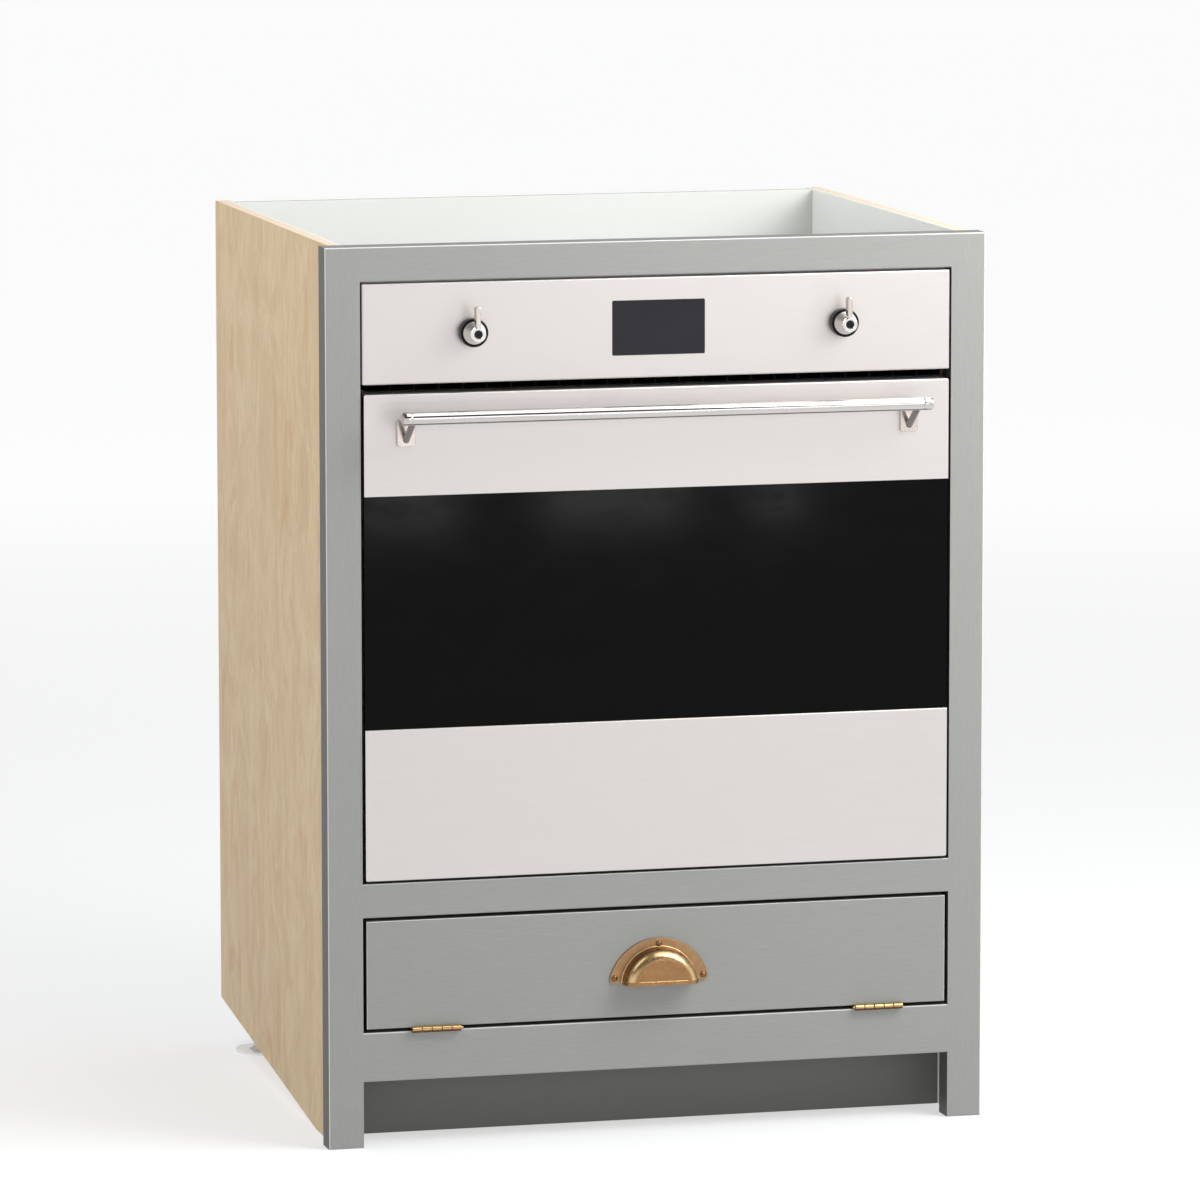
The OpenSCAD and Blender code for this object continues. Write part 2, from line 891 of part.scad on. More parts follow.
// Wool slabs round the cavity
module insulation_slabs() {
    outer_x = liner_x + wool_t;
    low = cavity_z - liner_t;
    high = cavity_top + liner_t;
    wool_rear = cavity_rear + liner_t + wool_t;
    color("khaki") at_front() {
        both_sides() block([liner_x, outer_x], [case_y, wool_rear],
                           [low + wool_joint, high - wool_joint]);
        block([-outer_x, outer_x], [case_y, wool_rear], [high, high + wool_t]);
        block([-outer_x, outer_x], [case_y, wool_rear], [low - wool_t, low]);
        difference() {
            block([wool_joint - liner_x, liner_x - wool_joint],
                  [wool_rear - wool_t, wool_rear],
                  [low + wool_joint, high - wool_joint]);
            rod_y(0, [wool_rear - wool_t - cut, wool_rear + cut], fan_z,
                  wool_hole_r);
        }
    }
}

// Outline of the cavity, grown by g
module cavity_outline(g) {
    round_rect([-cavity_x - g, cavity_x + g], [cavity_z - g, cavity_top + g],
               cavity_r + g);
}

// Enamelled box, open at the front, with pressed shelf ribs
module cavity_liner() {
    color("dimgray") at_front() difference() {
        along_y([case_y, cavity_rear + liner_t]) cavity_outline(liner_t);
        along_y([case_y - cut, cavity_rear]) cavity_outline(0);
        rod_y(0, [cavity_rear - cut, cavity_rear + liner_t + cut], fan_z, 8);
    }
}

// Steel flange with the cavity mouth, hinge slots and fixing holes
module oven_front_frame() {
    y = [flange_y, case_y];
    through = [flange_y - cut, case_y + cut];
    color("slategray") at_front() difference() {
        along_y(y) round_rect([-door_x, door_x],
                              [shelf_top + 0.5, flange_top], flange_r);
        along_y(through) cavity_outline(0);
        along_y(through) round_rect([8 - case_x, case_x - 8],
                                    [fascia_z + 7, flange_top - 6], flange_r);
        both_sides() {
            block([arm_x - arm_t / 2 - 1, arm_x + arm_t / 2 + 1], through,
                  [pivot_z - arm_eye_r - 1, pivot_z + arm_eye_r + 1]);
            for (z = flange_screw_z)
                rod_y(flange_screw_x, through, z, flange_screw_r + fit_gap);
        }
    }
}

module oven_screws() {
    color("silver") at_front() both_sides() for (z = flange_screw_z) {
        difference() {
            rod_y(flange_screw_x, [flange_y - 1.6, flange_y], z, 4.5);
            for (a = [0, 90])
                translate([flange_screw_x, flange_y - 1.1, z])
                    rotate([0, a, 0]) cube([5, 1.2, 0.9], center = true);
        }
        rod_y(flange_screw_x, [flange_y - 0.2, case_y + flange_screw_l], z,
              flange_screw_r);
    }
}

// Gasket on the flange, just clear of the closed door
module door_seal() {
    color("black") at_front() along_y([door_rear + run_gap, flange_y])
        difference() {
            cavity_outline(seal_w + seal_inset);
            cavity_outline(seal_inset);
        }
}

// ---------- cavity fittings ----------

// Wire ladders on both side walls
module rack_runners() {
    reach = runner_margin / 2;
    color("silver") at_front() both_sides() {
        for (y = ladder_y)
            rod_z(runner_x, y, [runner_z0 - reach,
                  runner_z0 + (shelf_levels - 1) * runner_pitch + reach],
                  runner_r);
        for (i = [0 : shelf_levels - 1])
            rod_y(runner_x - runner_step,
                  [ladder_y[0] - reach, ladder_y[1] + reach],
                  runner_z0 + i * runner_pitch, runner_r);
    }
}

// Wire rack: a rim, two cross rods and close bars, with a raised rear stop
module wire_rack() {
    pitch = 2 * rack_x / (rack_bars + 1);
    span = [rack_front, rack_rear];
    stop_x = rack_x - rack_stop_inset;
    stop_z = rack_z + rack_stop_h;
    color("silver") at_front() {
        both_sides() rod_y(rack_x, span, rack_z, rack_r);
        for (y = [rack_front, (rack_front + rack_rear) / 2, rack_rear])
            rod_x([-rack_x, rack_x], y, rack_z, rack_r);
        for (x = [-rack_x, rack_x], y = span)
            translate([x, y, rack_z]) sphere(rack_r);
        for (i = [1 : rack_bars])
            rod_y(-rack_x + i * pitch, span, rack_z, rack_wire_r);
        both_sides() {
            rod_z(stop_x, rack_rear, [rack_z, stop_z], rack_wire_r);
            translate([stop_x, rack_rear, stop_z]) sphere(rack_wire_r);
        }
        rod_x([-stop_x, stop_x], rack_rear, stop_z, rack_wire_r);
    }
}

// Baffle in front of the fan, with rings of round holes
module fan_cover() {
    inset = 14;
    color("dimgray") at_front() {
        along_y([cover_y, cover_y + cover_t]) difference() {
            round_rect([-cover_x, cover_x], cover_z, inset - 2);
            translate([0, fan_z]) {
                circle(cover_hole_r);
                for (ring = [1 : 4], k = [0 : 6 * ring - 1])
                    rotate(k * 60 / ring)
                        translate([cover_ring_pitch * ring, 0])
                            circle(cover_hole_r);
            }
        }
        both_sides() block([cover_x - cover_t, cover_x],
                           [cover_y + cover_t, cavity_rear],
                           [cover_z[0] + inset, cover_z[1] - inset]);
    }
}

// Impeller: back disc, radial blades, hub and shaft
module fan_impeller() {
    disc_y = fan_y + fan_depth;
    color("lightgray") at_front() {
        rod_y(0, [disc_y - 1.2, disc_y], fan_z, fan_r);
        rod_y(0, [fan_y, disc_y], fan_z, 11);
        rod_y(0, [fan_y, cavity_rear + liner_t + motor_l - 12], fan_z, shaft_r);
        out_at(0, disc_y - 1, fan_z) for (i = [0 : fan_blades - 1])
            rotate([0, 0, i * 360 / fan_blades]) translate([10, 0, 0])
                rotate([0, 0, 14]) translate([8, -0.6, 0])
                    cube([fan_r - 24, 1.2, fan_depth - 3]);
    }
}

// Motor on the cavity's rear wall, bored for the impeller's shaft
module fan_motor() {
    y0 = cavity_rear + liner_t;
    color("gray") at_front() difference() {
        union() {
            rod_y(0, [y0, y0 + 6], fan_z, 14);
            rod_y(0, [y0 + 5, y0 + motor_l - 8], fan_z, motor_r);
            rod_y(0, [y0 + motor_l - 9, y0 + motor_l], fan_z, 16);
            for (a = [45 : 90 : 315])
                rod_y(30 * cos(a), [y0, y0 + 6], fan_z + 30 * sin(a), 3);
        }
        rod_y(0, [y0 - cut, y0 + motor_l - 10], fan_z, shaft_r + pin_gap);
    }
}

// Ring element round the fan and a looped grill element under the roof
module heating_elements() {
    ring_y = cavity_rear - 12;
    loop_r = 50;
    loop_z = cavity_top - 18;
    loop_front = case_y + 70;
    loop_rear = cavity_rear - 60;
    $fn = 24;
    color("dimgray") at_front() {
        out_at(0, ring_y, fan_z) rotate_extrude()
            translate([ring_r, 0]) circle(element_r);
        for (s = [-1, 1])
            rod_y(ring_r * sin(8 * s), [ring_y, cavity_rear],
                  fan_z - ring_r * cos(8), element_r - 0.4);
        for (s = [-1, 1]) {
            translate([2 * loop_r * s, loop_front, loop_z]) rotate([0, 0, 180])
                rotate_extrude(angle = 180) translate([loop_r, 0]) circle(element_r);
            rod_y(loop_r * s, [loop_front, loop_rear], loop_z, element_r);
            rod_y(3 * loop_r * s, [loop_front, cavity_rear], loop_z, element_r);
        }
        translate([0, loop_rear, loop_z])
            rotate_extrude(angle = 180) translate([loop_r, 0]) circle(element_r);
    }
}

// Round glass over the cavity lamp, high on the rear wall
module lamp_lens() {
    color("lightyellow") at_front()
        out_at(cavity_x - 45, cavity_rear, cavity_top - 52) {
            cylinder(r = 24, h = 4);
            translate([0, 0, 3.9]) cylinder(r1 = 21, r2 = 16, h = 6);
        }
}

// ---------- controls ----------

// Folded steel control panel, open at the back
module control_fascia() {
    x = [-fascia_x, fascia_x];
    z = [fascia_z, fascia_top];
    color("gainsboro") at_front() difference() {
        intersection() {
            eased_board(x, [0, flange_y], z, steel_arris);
            along_y([0, flange_y]) round_rect(x, z, front_corner_r);
        }
        along_y([steel_t, flange_y + cut])
            round_rect([x[0] + steel_t, x[1] - steel_t],
                       [z[0] + steel_t, z[1] - steel_t],
                       front_corner_r - 1);
        both_sides() rod_y(knob_x, [-cut, steel_t + cut], knob_z, shaft_r + 2);
        along_y([-cut, steel_t + cut]) display_outline(fit_gap);
    }
}

// Outline of the display window, grown by g
module display_outline(g) {
    round_rect([-display_w / 2 - g, display_w / 2 + g],
               [knob_z - display_h / 2 - g, knob_z + display_h / 2 + g],
               display_r + g);
}

module display_window() {
    color("darkslategray") at_front() along_y([0, display_t]) display_outline(0);
}

// Clock housing between the window and the tray
module clock_module() {
    color("black") at_front() {
        block([-display_w / 2 - 6, display_w / 2 + 6], [display_t, tray_y],
              [knob_z - display_h / 2 + 3, knob_z + display_h / 2 - 3]);
    }
}

// Tray that carries the clock and switches, fixed to the flange
module control_tray() {
    tray_x = case_x - 2;
    low = fascia_z + 5;
    color("silver") at_front() {
        block([-tray_x, tray_x], [tray_y, tray_y + sheet_t],
              [low, flange_top - 4]);
        both_sides() block([tray_x - sheet_t, tray_x],
                           [tray_y + sheet_t, flange_y], [low, flange_top - 4]);
        block([sheet_t - tray_x, tray_x - sheet_t], [tray_y + sheet_t, flange_y],
              [low, low + sheet_t]);
    }
}

// Rotary switches, each bored for its knob's shaft
module switch_bodies() {
    color("ivory") at_front() both_sides() difference() {
        union() {
            translate([knob_x, 0, knob_z])
                block([-switch_size / 2, switch_size / 2], [2 * steel_t, tray_y],
                      [-switch_size / 2, switch_size / 2]);
            rod_y(knob_x, [steel_t, 3 * steel_t], knob_z, switch_neck_r);
        }
        rod_y(knob_x, [-cut, shaft_l + 1], knob_z, shaft_r + pin_gap);
    }
}

// Black collars that the knobs sit in
module knob_collars() {
    color("black") at_front() both_sides() out_at(knob_x, 0, knob_z)
        difference() {
            union() {
                cylinder(d = collar_d, h = collar_out - 1);
                translate([0, 0, collar_out - 1])
                    cylinder(d1 = collar_d, d2 = collar_d - 1.6, h = 1);
            }
            translate([0, 0, 2]) cylinder(r = knob_skirt_r + run_gap,
                                          h = collar_out);
            translate([0, 0, -cut]) cylinder(r = shaft_r + 2, h = 4);
        }
}

// Cone with a flat face, a screw well, a lever and its shaft
module knob() {
    face_r = knob_face_d / 2;
    lever_out = [knob_out - 9, knob_out - 0.6];
    out_at(knob_x, 0, knob_z) {
        difference() {
            union() {
                translate([0, 0, 2 + run_gap])
                    cylinder(r = knob_skirt_r, h = collar_out - 2 - run_gap);
                translate([0, 0, collar_out])
                    cylinder(r1 = knob_skirt_r, r2 = face_r,
                             h = knob_out - collar_out - 0.8);
                translate([0, 0, knob_out - 0.8])
                    cylinder(r1 = face_r, r2 = face_r - 0.8, h = 0.8);
                translate([0, 0, lever_out[0]])
                    linear_extrude(lever_out[1] - lever_out[0]) {
                        rect([-lever_w / 2, lever_w / 2],
                             [0, lever_l - lever_w / 2]);
                        translate([0, lever_l - lever_w / 2])
                            circle(lever_w / 2);
                    }
            }
            translate([0, 0, knob_out - 2]) cylinder(r = 4.15, h = 4);
        }
        translate([0, 0, -shaft_l]) cylinder(r = shaft_r, h = shaft_l + 4);
    }
}

module knob_left() {
    color("silver") at_front() translate([-2 * knob_x, 0, 0]) knob();
}

module knob_right() {
    color("silver") at_front() knob();
}

// Black grille of upright fins in the cooling slot
module vent_grille() {
    z = [door_top + grille_lift, fascia_z];
    x = door_x - 5;
    pitch = 2 * x / grille_slots;
    color("black") at_front() along_y([grille_y, flange_y]) difference() {
        rect([-x, x], z);
        for (i = [0 : grille_slots - 1])
            rect([-x + i * pitch + 1.2, -x + (i + 1) * pitch - 1.2],
                 [z[0] + 1.2, z[1] - 1.2]);
    }
}

// ---------- oven door ----------

// Full face of the door with its rounded corners
module door_face() {
    round_rect([-door_x, door_x], [door_z, door_top], front_corner_r);
}

// Upper steel band, folded back over the door's top edge
module door_band_upper() {
    color("gainsboro") at_front() intersection() {
        along_y([door_y, door_y + band_lip]) door_face();
        along_x([-door_x, door_x]) difference() {
            eased_up([door_y, door_y + band_lip],
                     [glass_top - 2 * steel_arris, door_top], steel_arris);
            rect([door_y - cut, door_y + band_lip],
                 [glass_top - 3 * steel_arris, glass_top]);
            rect([glass_y, door_y + band_lip + cut],
                 [glass_top - cut, door_top - steel_t]);
        }
    }
}

module door_band_lower() {
    color("gainsboro") at_front() intersection() {
        along_y([door_y, glass_y]) door_face();
        along_x([-door_x, door_x])
            eased_up([door_y, glass_y], [door_z, lower_band_top], band_arris);
    }
}

// One pane behind both bands
module door_glass_outer() {
    color("black") at_front() intersection() {
        along_y([glass_y, pan_y]) door_face();
        block([-door_x, door_x], [glass_y, pan_y],
              [door_z, door_top - steel_t]);
    }
}

// Side outline of the inner pan, shrunk by g, its lower rear corner cut away
// so that it clears the flange as the door tips
module pan_profile(g) {
    slope = atan2(pan_chamfer_z, pan_chamfer_y);
    polygon([
        [pan_y - cut * sign(g), pan_z + g],
        [door_rear - pan_chamfer_y - g * tan(slope / 2), pan_z + g],
        [door_rear - g, pan_z + pan_chamfer_z + g * tan(45 - slope / 2)],
        [door_rear - g, pan_top - g],
        [pan_y - cut * sign(g), pan_top - g]]);
}

module door_inner_frame() {
    slot_pitch = air_slot_l + air_slot_gap;
    color("lightslategray") at_front() difference() {
        along_x([-pan_x, pan_x]) pan_profile(0);
        along_x([steel_t - pan_x, pan_x - steel_t]) pan_profile(steel_t);
        along_y([pan_y, door_rear + cut])
            round_rect([-window_x, window_x], window_z, window_r);
        both_sides() block(
            [arm_x - arm_t / 2 - 0.7, arm_x + arm_t / 2 + 0.7],
            [pan_y - cut, door_rear + cut], [pan_z - cut, notch_top]);
        // air slots along the top edge
        for (i = [0 : air_slots - 1])
            translate([(i - air_slots / 2) * slot_pitch + air_slot_gap / 2, 0, 0])
                block([0, air_slot_l], [pan_y + 8, pan_y + 8 + air_slot_w],
                      [pan_top - 2 * steel_t, pan_top + cut]);
    }
}

module door_glass_inner() {
    half_w = window_x + inner_glass_edge;
    rear = door_rear - steel_t;
    color("dimgray") at_front() along_y([rear - inner_glass_t, rear])
        round_rect([-half_w, half_w],
                   [window_z[0] - inner_glass_edge,
                    window_z[1] + inner_glass_edge], window_r / 2);
}

// Channel in each lower corner: two cheeks, a web on the pan and the pin
module door_hinge_channels() {
    cheek = arm_t / 2 + run_gap;
    rear = door_rear - steel_t;
    color("silver") at_front() both_sides() translate([arm_x, 0, 0]) {
        for (s = [-1, 1])
            along_x(s < 0 ? [-cheek - cheek_t, -cheek] : [cheek, cheek + cheek_t])
                polygon([
                    [pan_y, pan_z + steel_t],
                    [rear - pan_chamfer_y, pan_z + steel_t],
                    [rear, pan_z + pan_chamfer_z + steel_t],
                    [rear, channel_top],
                    [pan_y, channel_top]]);
        block([-cheek - cheek_t, cheek + cheek_t], [rear - cheek_t, rear],
              [notch_top + 1, channel_top]);
        rod_x([-cheek - cheek_t, cheek + cheek_t], pivot_y, pivot_z,
              pivot_pin_d / 2);
    }
}

// Fixed arms: a box behind the flange and an arm with the pin's eye
module door_hinge_arms() {
    color("slategray") at_front() both_sides() difference() {
        union() {
            block([arm_x - hinge_box_w / 2, arm_x + hinge_box_w / 2],
                  [case_y, case_y + hinge_box_l],
                  [pivot_z - hinge_box_h / 2, pivot_z + hinge_box_h / 2]);
            block([arm_x - arm_t / 2, arm_x + arm_t / 2],
                  [pivot_y, case_y + 1],
                  [pivot_z - arm_eye_r, pivot_z + arm_eye_r]);
            rod_x([arm_x - arm_t / 2, arm_x + arm_t / 2], pivot_y, pivot_z,
                  arm_eye_r);
        }
        rod_x([arm_x - arm_t, arm_x + arm_t], pivot_y, pivot_z,
              pivot_pin_d / 2 + pin_gap);
    }
}

// ---------- handle ----------

module handle_bar() {
    half = bar_l / 2 - cap_l;
    color("silver") at_front() difference() {
        rod_x([-half, half], bar_y, bar_z, bar_d / 2);
        rod_x([-half - cut, half + cut], bar_y, bar_z, bar_d / 2 - bar_wall);
    }
}

// End caps with spigots, and brackets with their rods
module handle_fittings() {
    half = bar_l / 2 - cap_l;
    bore_r = bar_d / 2 - bar_wall;
    rod_run = [bar_y - (door_y - bracket_t), bar_z - bracket_foot_z];
    rod_l = norm(rod_run);
    color("silver") at_front() both_sides() {
        rod_x([half, half + cap_l - 1], bar_y, bar_z, bar_d / 2);
        translate([half + cap_l - 1, bar_y, bar_z]) rotate([0, 90, 0])
            cylinder(r1 = bar_d / 2, r2 = bar_d / 2 - 1, h = 1);
        rod_x([half - 8, half + 1], bar_y, bar_z, bore_r - fit_gap);
        along_y([door_y - bracket_t, door_y])
            translate([bracket_x, 0])
                round_rect([-bracket_w / 2, bracket_w / 2],
                           [bracket_top - bracket_h, bracket_top],
                           bracket_corner);
        difference() {
            translate([bracket_x, door_y - bracket_t + 1.2, bracket_foot_z - 1.2])
                rotate([atan2(-rod_run[0], rod_run[1]), 0, 0])
                    cylinder(d = strut_d, h = rod_l + 1);
            rod_x([bracket_x - 20, bracket_x + 20], bar_y, bar_z, bar_d / 2 + 0.05);
            block([bracket_x - 20, bracket_x + 20], [door_y - 0.5, door_y + 20],
                  [bracket_foot_z - 20, bracket_foot_z + 20]);
        }
    }
}

side_panel_left();
side_panel_right();
back_panel();
base_panel();
oven_shelf();
shelf_battens();
fixing_battens();
stile_left();
stile_right();
top_rail();
middle_rail();
bottom_rail();
plinth();
leg_columns();
magnetic_catch();
frame_hinge_leaves();
hinge_pins();
foot_left();
foot_right();
flap_panel();
flap_hinge_leaves();
cup_pull();
pull_screws();
catch_strike();
oven_case_left();
oven_case_right();
oven_case_top();
oven_case_base();
oven_case_back();
insulation_slabs();
cavity_liner();
oven_front_frame();
door_seal();
rack_runners();
wire_rack();
fan_cover();
fan_motor();
heating_elements();
lamp_lens();
control_fascia();
control_tray();
clock_module();
display_window();
knob_collars();
switch_bodies();
vent_grille();
mains_inlet();
oven_screws();
door_hinge_arms();
fan_impeller();
knob_left();
knob_right();
door_band_upper();
door_band_lower();
door_glass_outer();
door_inner_frame();
door_glass_inner();
door_hinge_channels();
handle_bar();
handle_fittings();
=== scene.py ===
import math

import bmesh
import bpy
from mathutils import Matrix, Vector


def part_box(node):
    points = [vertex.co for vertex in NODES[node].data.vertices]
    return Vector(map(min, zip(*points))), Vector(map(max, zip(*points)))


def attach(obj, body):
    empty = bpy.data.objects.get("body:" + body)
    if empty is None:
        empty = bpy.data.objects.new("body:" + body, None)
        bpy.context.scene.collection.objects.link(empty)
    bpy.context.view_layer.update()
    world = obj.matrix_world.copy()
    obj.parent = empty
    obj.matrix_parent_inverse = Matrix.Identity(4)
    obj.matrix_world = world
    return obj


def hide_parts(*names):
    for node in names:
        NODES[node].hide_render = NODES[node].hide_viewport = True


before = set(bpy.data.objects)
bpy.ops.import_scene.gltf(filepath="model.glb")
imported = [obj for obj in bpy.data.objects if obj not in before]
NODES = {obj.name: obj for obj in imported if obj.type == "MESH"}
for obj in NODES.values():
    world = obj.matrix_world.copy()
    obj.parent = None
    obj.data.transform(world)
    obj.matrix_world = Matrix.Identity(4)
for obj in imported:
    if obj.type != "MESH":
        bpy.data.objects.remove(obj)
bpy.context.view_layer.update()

# Pieces are drawn in millimetres, with y counted back from the front of the face frame.
MM = 0.001
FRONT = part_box("top_rail")[0].y
TO_SCENE = Matrix.Translation((0, FRONT, 0)) @ Matrix.Scale(MM, 4)


def in_mm(node):
    """A node's lowest and highest corners, in the millimetres that pieces are drawn in."""
    shift = Vector((0, FRONT, 0))
    return tuple((corner - shift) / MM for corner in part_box(node))


# ---------- materials ----------

class Look:
    """A procedural material under construction, measured in millimetres."""

    def __init__(self, name, colour, **sockets):
        self.material = bpy.data.materials.new(name)
        self.material.use_nodes = True
        self.tree = self.material.node_tree
        self.shader = self.tree.nodes["Principled BSDF"]
        self.shader.inputs["Base Color"].default_value = (*colour, 1)
        for socket, value in sockets.items():
            self.shader.inputs[socket.replace("_", " ")].default_value = value
        where = self.tree.nodes.new("ShaderNodeTexCoord")
        self.normal = where.outputs["Normal"]
        self.place = self.math3("MULTIPLY", where.outputs["Object"], (1000, 1000, 1000))

    def add(self, kind, *values, out=0, **settings):
        """Adds a node, sets its options, fills its inputs in order and returns an output."""
        node = self.tree.nodes.new(kind)
        for key, value in settings.items():
            setattr(node, key, value)
        for socket, value in zip(node.inputs, values):
            self.fill(socket, value)
        return node.outputs[out]

    def fill(self, socket, value):
        """Links a value from another node, or sets a plain one."""
        if isinstance(value, bpy.types.NodeSocket):
            self.tree.links.new(value, socket)
        else:
            socket.default_value = value

    def math(self, how, a, b=0.0):
        return self.add("ShaderNodeMath", a, b, operation=how)

    def math3(self, how, a, b):
        return self.add("ShaderNodeVectorMath", a, b, operation=how)

    def axis(self, vector, index):
        """One part of a vector: 0 for x, 1 for y and 2 for z."""
        return self.add("ShaderNodeSeparateXYZ", vector, out=index)

    def noise(self, size, detail=3.0, rough=0.5, twist=0.0):
        """Soft random values; size is how long its features are along x, y and z."""
        node = self.tree.nodes.new("ShaderNodeTexNoise")
        self.fill(node.inputs["Vector"], self.math3("DIVIDE", self.place, size))
        node.inputs["Scale"].default_value = 1.0
        node.inputs["Detail"].default_value = detail
        node.inputs["Roughness"].default_value = rough
        node.inputs["Distortion"].default_value = twist
        return node.outputs["Fac"]

    def spots(self, pitch, scatter=1.0):
        """The cells round scattered points; it has the outputs Distance and Color."""
        node = self.tree.nodes.new("ShaderNodeTexVoronoi")
        self.fill(node.inputs["Vector"], self.math3("DIVIDE", self.place, (pitch,) * 3))
        node.inputs["Scale"].default_value = 1.0
        node.inputs["Randomness"].default_value = scatter
        return node.outputs

    def spread(self, value, low, high, to_low=0.0, to_high=1.0):
        """Maps low..high onto to_low..to_high, held at the ends."""
        return self.add("ShaderNodeMapRange", value, low, high, to_low, to_high)

    def mix(self, share, a, b):
        """Colour a where share is 0, and colour b where it is 1."""
        node = self.tree.nodes.new("ShaderNodeMix")
        node.data_type = "RGBA"
        for index, value in ((0, share), (6, a), (7, b)):
            if isinstance(value, tuple):
                value = (*value, 1)
            self.fill(node.inputs[index], value)
        return node.outputs[2]

    def colour(self, value):
        self.fill(self.shader.inputs["Base Color"], value)

    def rough(self, value):
        self.fill(self.shader.inputs["Roughness"], value)

    def bump(self, height, depth, strength=1.0):
        """Roughens the surface; depth is in millimetres."""
        node = self.tree.nodes.new("ShaderNodeBump")
        node.inputs["Strength"].default_value = strength
        node.inputs["Distance"].default_value = depth * MM
        self.fill(node.inputs["Height"], height)
        earlier = self.shader.inputs["Normal"]
        if earlier.is_linked:
            self.fill(node.inputs["Normal"], earlier.links[0].from_socket)
        self.fill(self.shader.inputs["Normal"], node.outputs["Normal"])


def scaled(colour, by):
    return tuple(c * by for c in colour)


def drawn_out(across, axis, length):
    """The feature sizes of a grain that runs along one axis."""
    size = [across] * 3
    size[axis] = length
    return tuple(size)


def painted(name, colour, along):
    """Brushed-on satin paint, with painted shade on its side and top faces and a painted highlight
    along its arrises.
    """
    look = Look(name, colour, Roughness=0.5, IOR=1.42)
    brush = look.noise(drawn_out(0.9, along, 14.0), detail=2.5, rough=0.6)
    grain = look.noise((0.7, 0.7, 0.7), detail=2.0, rough=0.6)
    cloud = look.noise((190, 190, 190), detail=2.0)
    tone = look.mix(look.spread(brush, 0.3, 0.7), scaled(colour, 0.95), scaled(colour, 1.05))
    tone = look.mix(look.spread(grain, 0.35, 0.75, 0.0, 0.35), tone, scaled(colour, 0.82))
    tone = look.mix(look.spread(cloud, 0.35, 0.65, 0.0, 0.05), tone, scaled(colour, 0.8))
    aside = look.math("ABSOLUTE", look.axis(look.normal, 0))
    upwards = look.axis(look.normal, 2)
    # Painted shade: faces turned sideways fall to 0.22 of the colour, and faces turned up to 0.6.
    tone = look.mix(look.spread(aside, 0.75, 0.95), tone, scaled(colour, 0.22))
    tone = look.mix(look.spread(upwards, 0.75, 0.95), tone, scaled(colour, 0.6))
    # Painted highlight: arrises that turn forward and up or sideways rise to 2.9 times the colour.
    front = look.math("MULTIPLY", look.axis(look.normal, 1), -2.0)
    arris_highlight = look.math("MULTIPLY", look.math("MAXIMUM", aside, upwards), front)
    look.colour(look.mix(look.spread(arris_highlight, 0.5, 0.95, 0.0, 0.65), tone, scaled(colour, 2.9)))
    look.rough(look.spread(brush, 0.3, 0.7, 0.44, 0.56))
    look.bump(brush, 0.045, 0.6)
    return look.material


def veneered(name, light, dark):
    """Sliced birch with upright grain, cloudy figure and a few warm streaks."""
    look = Look(name, light, Roughness=0.42, IOR=1.45)
    pores = look.noise((1.6, 1.6, 22), detail=3.0, rough=0.65)
    bands = look.noise((30, 30, 420), detail=3.0, rough=0.6, twist=0.5)
    figure = look.noise((75, 75, 110), detail=5.0, rough=0.66, twist=1.8)
    streak = look.noise((52, 52, 130), detail=5.0, rough=0.62, twist=1.4)
    tone = look.mix(look.spread(bands, 0.36, 0.66, 0.0, 0.6), light, dark)
    pale = (light[0] * 1.05, light[1] * 1.09, light[2] * 1.12)
    tone = look.mix(look.spread(figure, 0.44, 0.62), tone, pale)
    warm = (dark[0] * 1.02, dark[1] * 0.91, dark[2] * 0.72)
    tone = look.mix(look.spread(streak, 0.52, 0.72, 0.0, 0.85), tone, warm)
    tone = look.mix(look.spread(pores, 0.46, 0.76, 0.0, 0.42), tone, scaled(dark, 0.74))
    look.colour(tone)
    look.rough(look.spread(pores, 0.3, 0.7, 0.38, 0.5))
    look.bump(pores, 0.03, 0.5)
    return look.material


def plied(name, light, dark, ply):
    """Board edge: plies of one thickness side by side in x, sanded smooth."""
    look = Look(name, light, Roughness=0.5)
    step = look.math("FRACT", look.math("DIVIDE", look.axis(look.place, 0), ply))
    line = look.math("ABSOLUTE", look.math("SUBTRACT", step, 0.5))
    fibre = look.noise((3, 12, 12), detail=2.0)
    tone = look.mix(look.spread(fibre, 0.3, 0.7), light, scaled(light, 0.93))
    look.colour(look.mix(look.spread(line, 0.38, 0.46, 0.0, 0.45), tone, dark))
    look.bump(fibre, 0.02, 0.4)
    return look.material


def wood_board(name, light, dark, along):
    """Plain softwood or birch ply face with grain along one axis."""
    look = Look(name, light, Roughness=0.55)
    rings = look.noise(drawn_out(9.0, along, 150.0), detail=4.0, rough=0.6, twist=0.7)
    pores = look.noise(drawn_out(0.8, along, 22.0), detail=2.0)
    tone = look.mix(look.spread(rings, 0.36, 0.66), light, dark)
    look.colour(look.mix(look.spread(pores, 0.5, 0.8, 0.0, 0.35), tone, scaled(dark, 0.7)))
    look.bump(pores, 0.04, 0.5)
    return look.material


def coated_board(name, colour, core):
    """White melamine with a slight orange peel, its top edge left raw."""
    look = Look(name, colour, Roughness=0.38, IOR=1.46)
    peel = look.noise((2.6, 2.6, 2.6), detail=2.0)
    cloud = look.noise((240, 240, 240), detail=2.0)
    tone = look.mix(look.spread(cloud, 0.3, 0.7, 0.0, 0.05), colour, scaled(colour, 0.8))
    upwards = look.axis(look.normal, 2)
    look.colour(look.mix(look.spread(upwards, 0.8, 0.95), tone, core))
    look.rough(look.spread(peel, 0.3, 0.7, 0.34, 0.44))
    look.bump(peel, 0.02, 0.5)
    return look.material


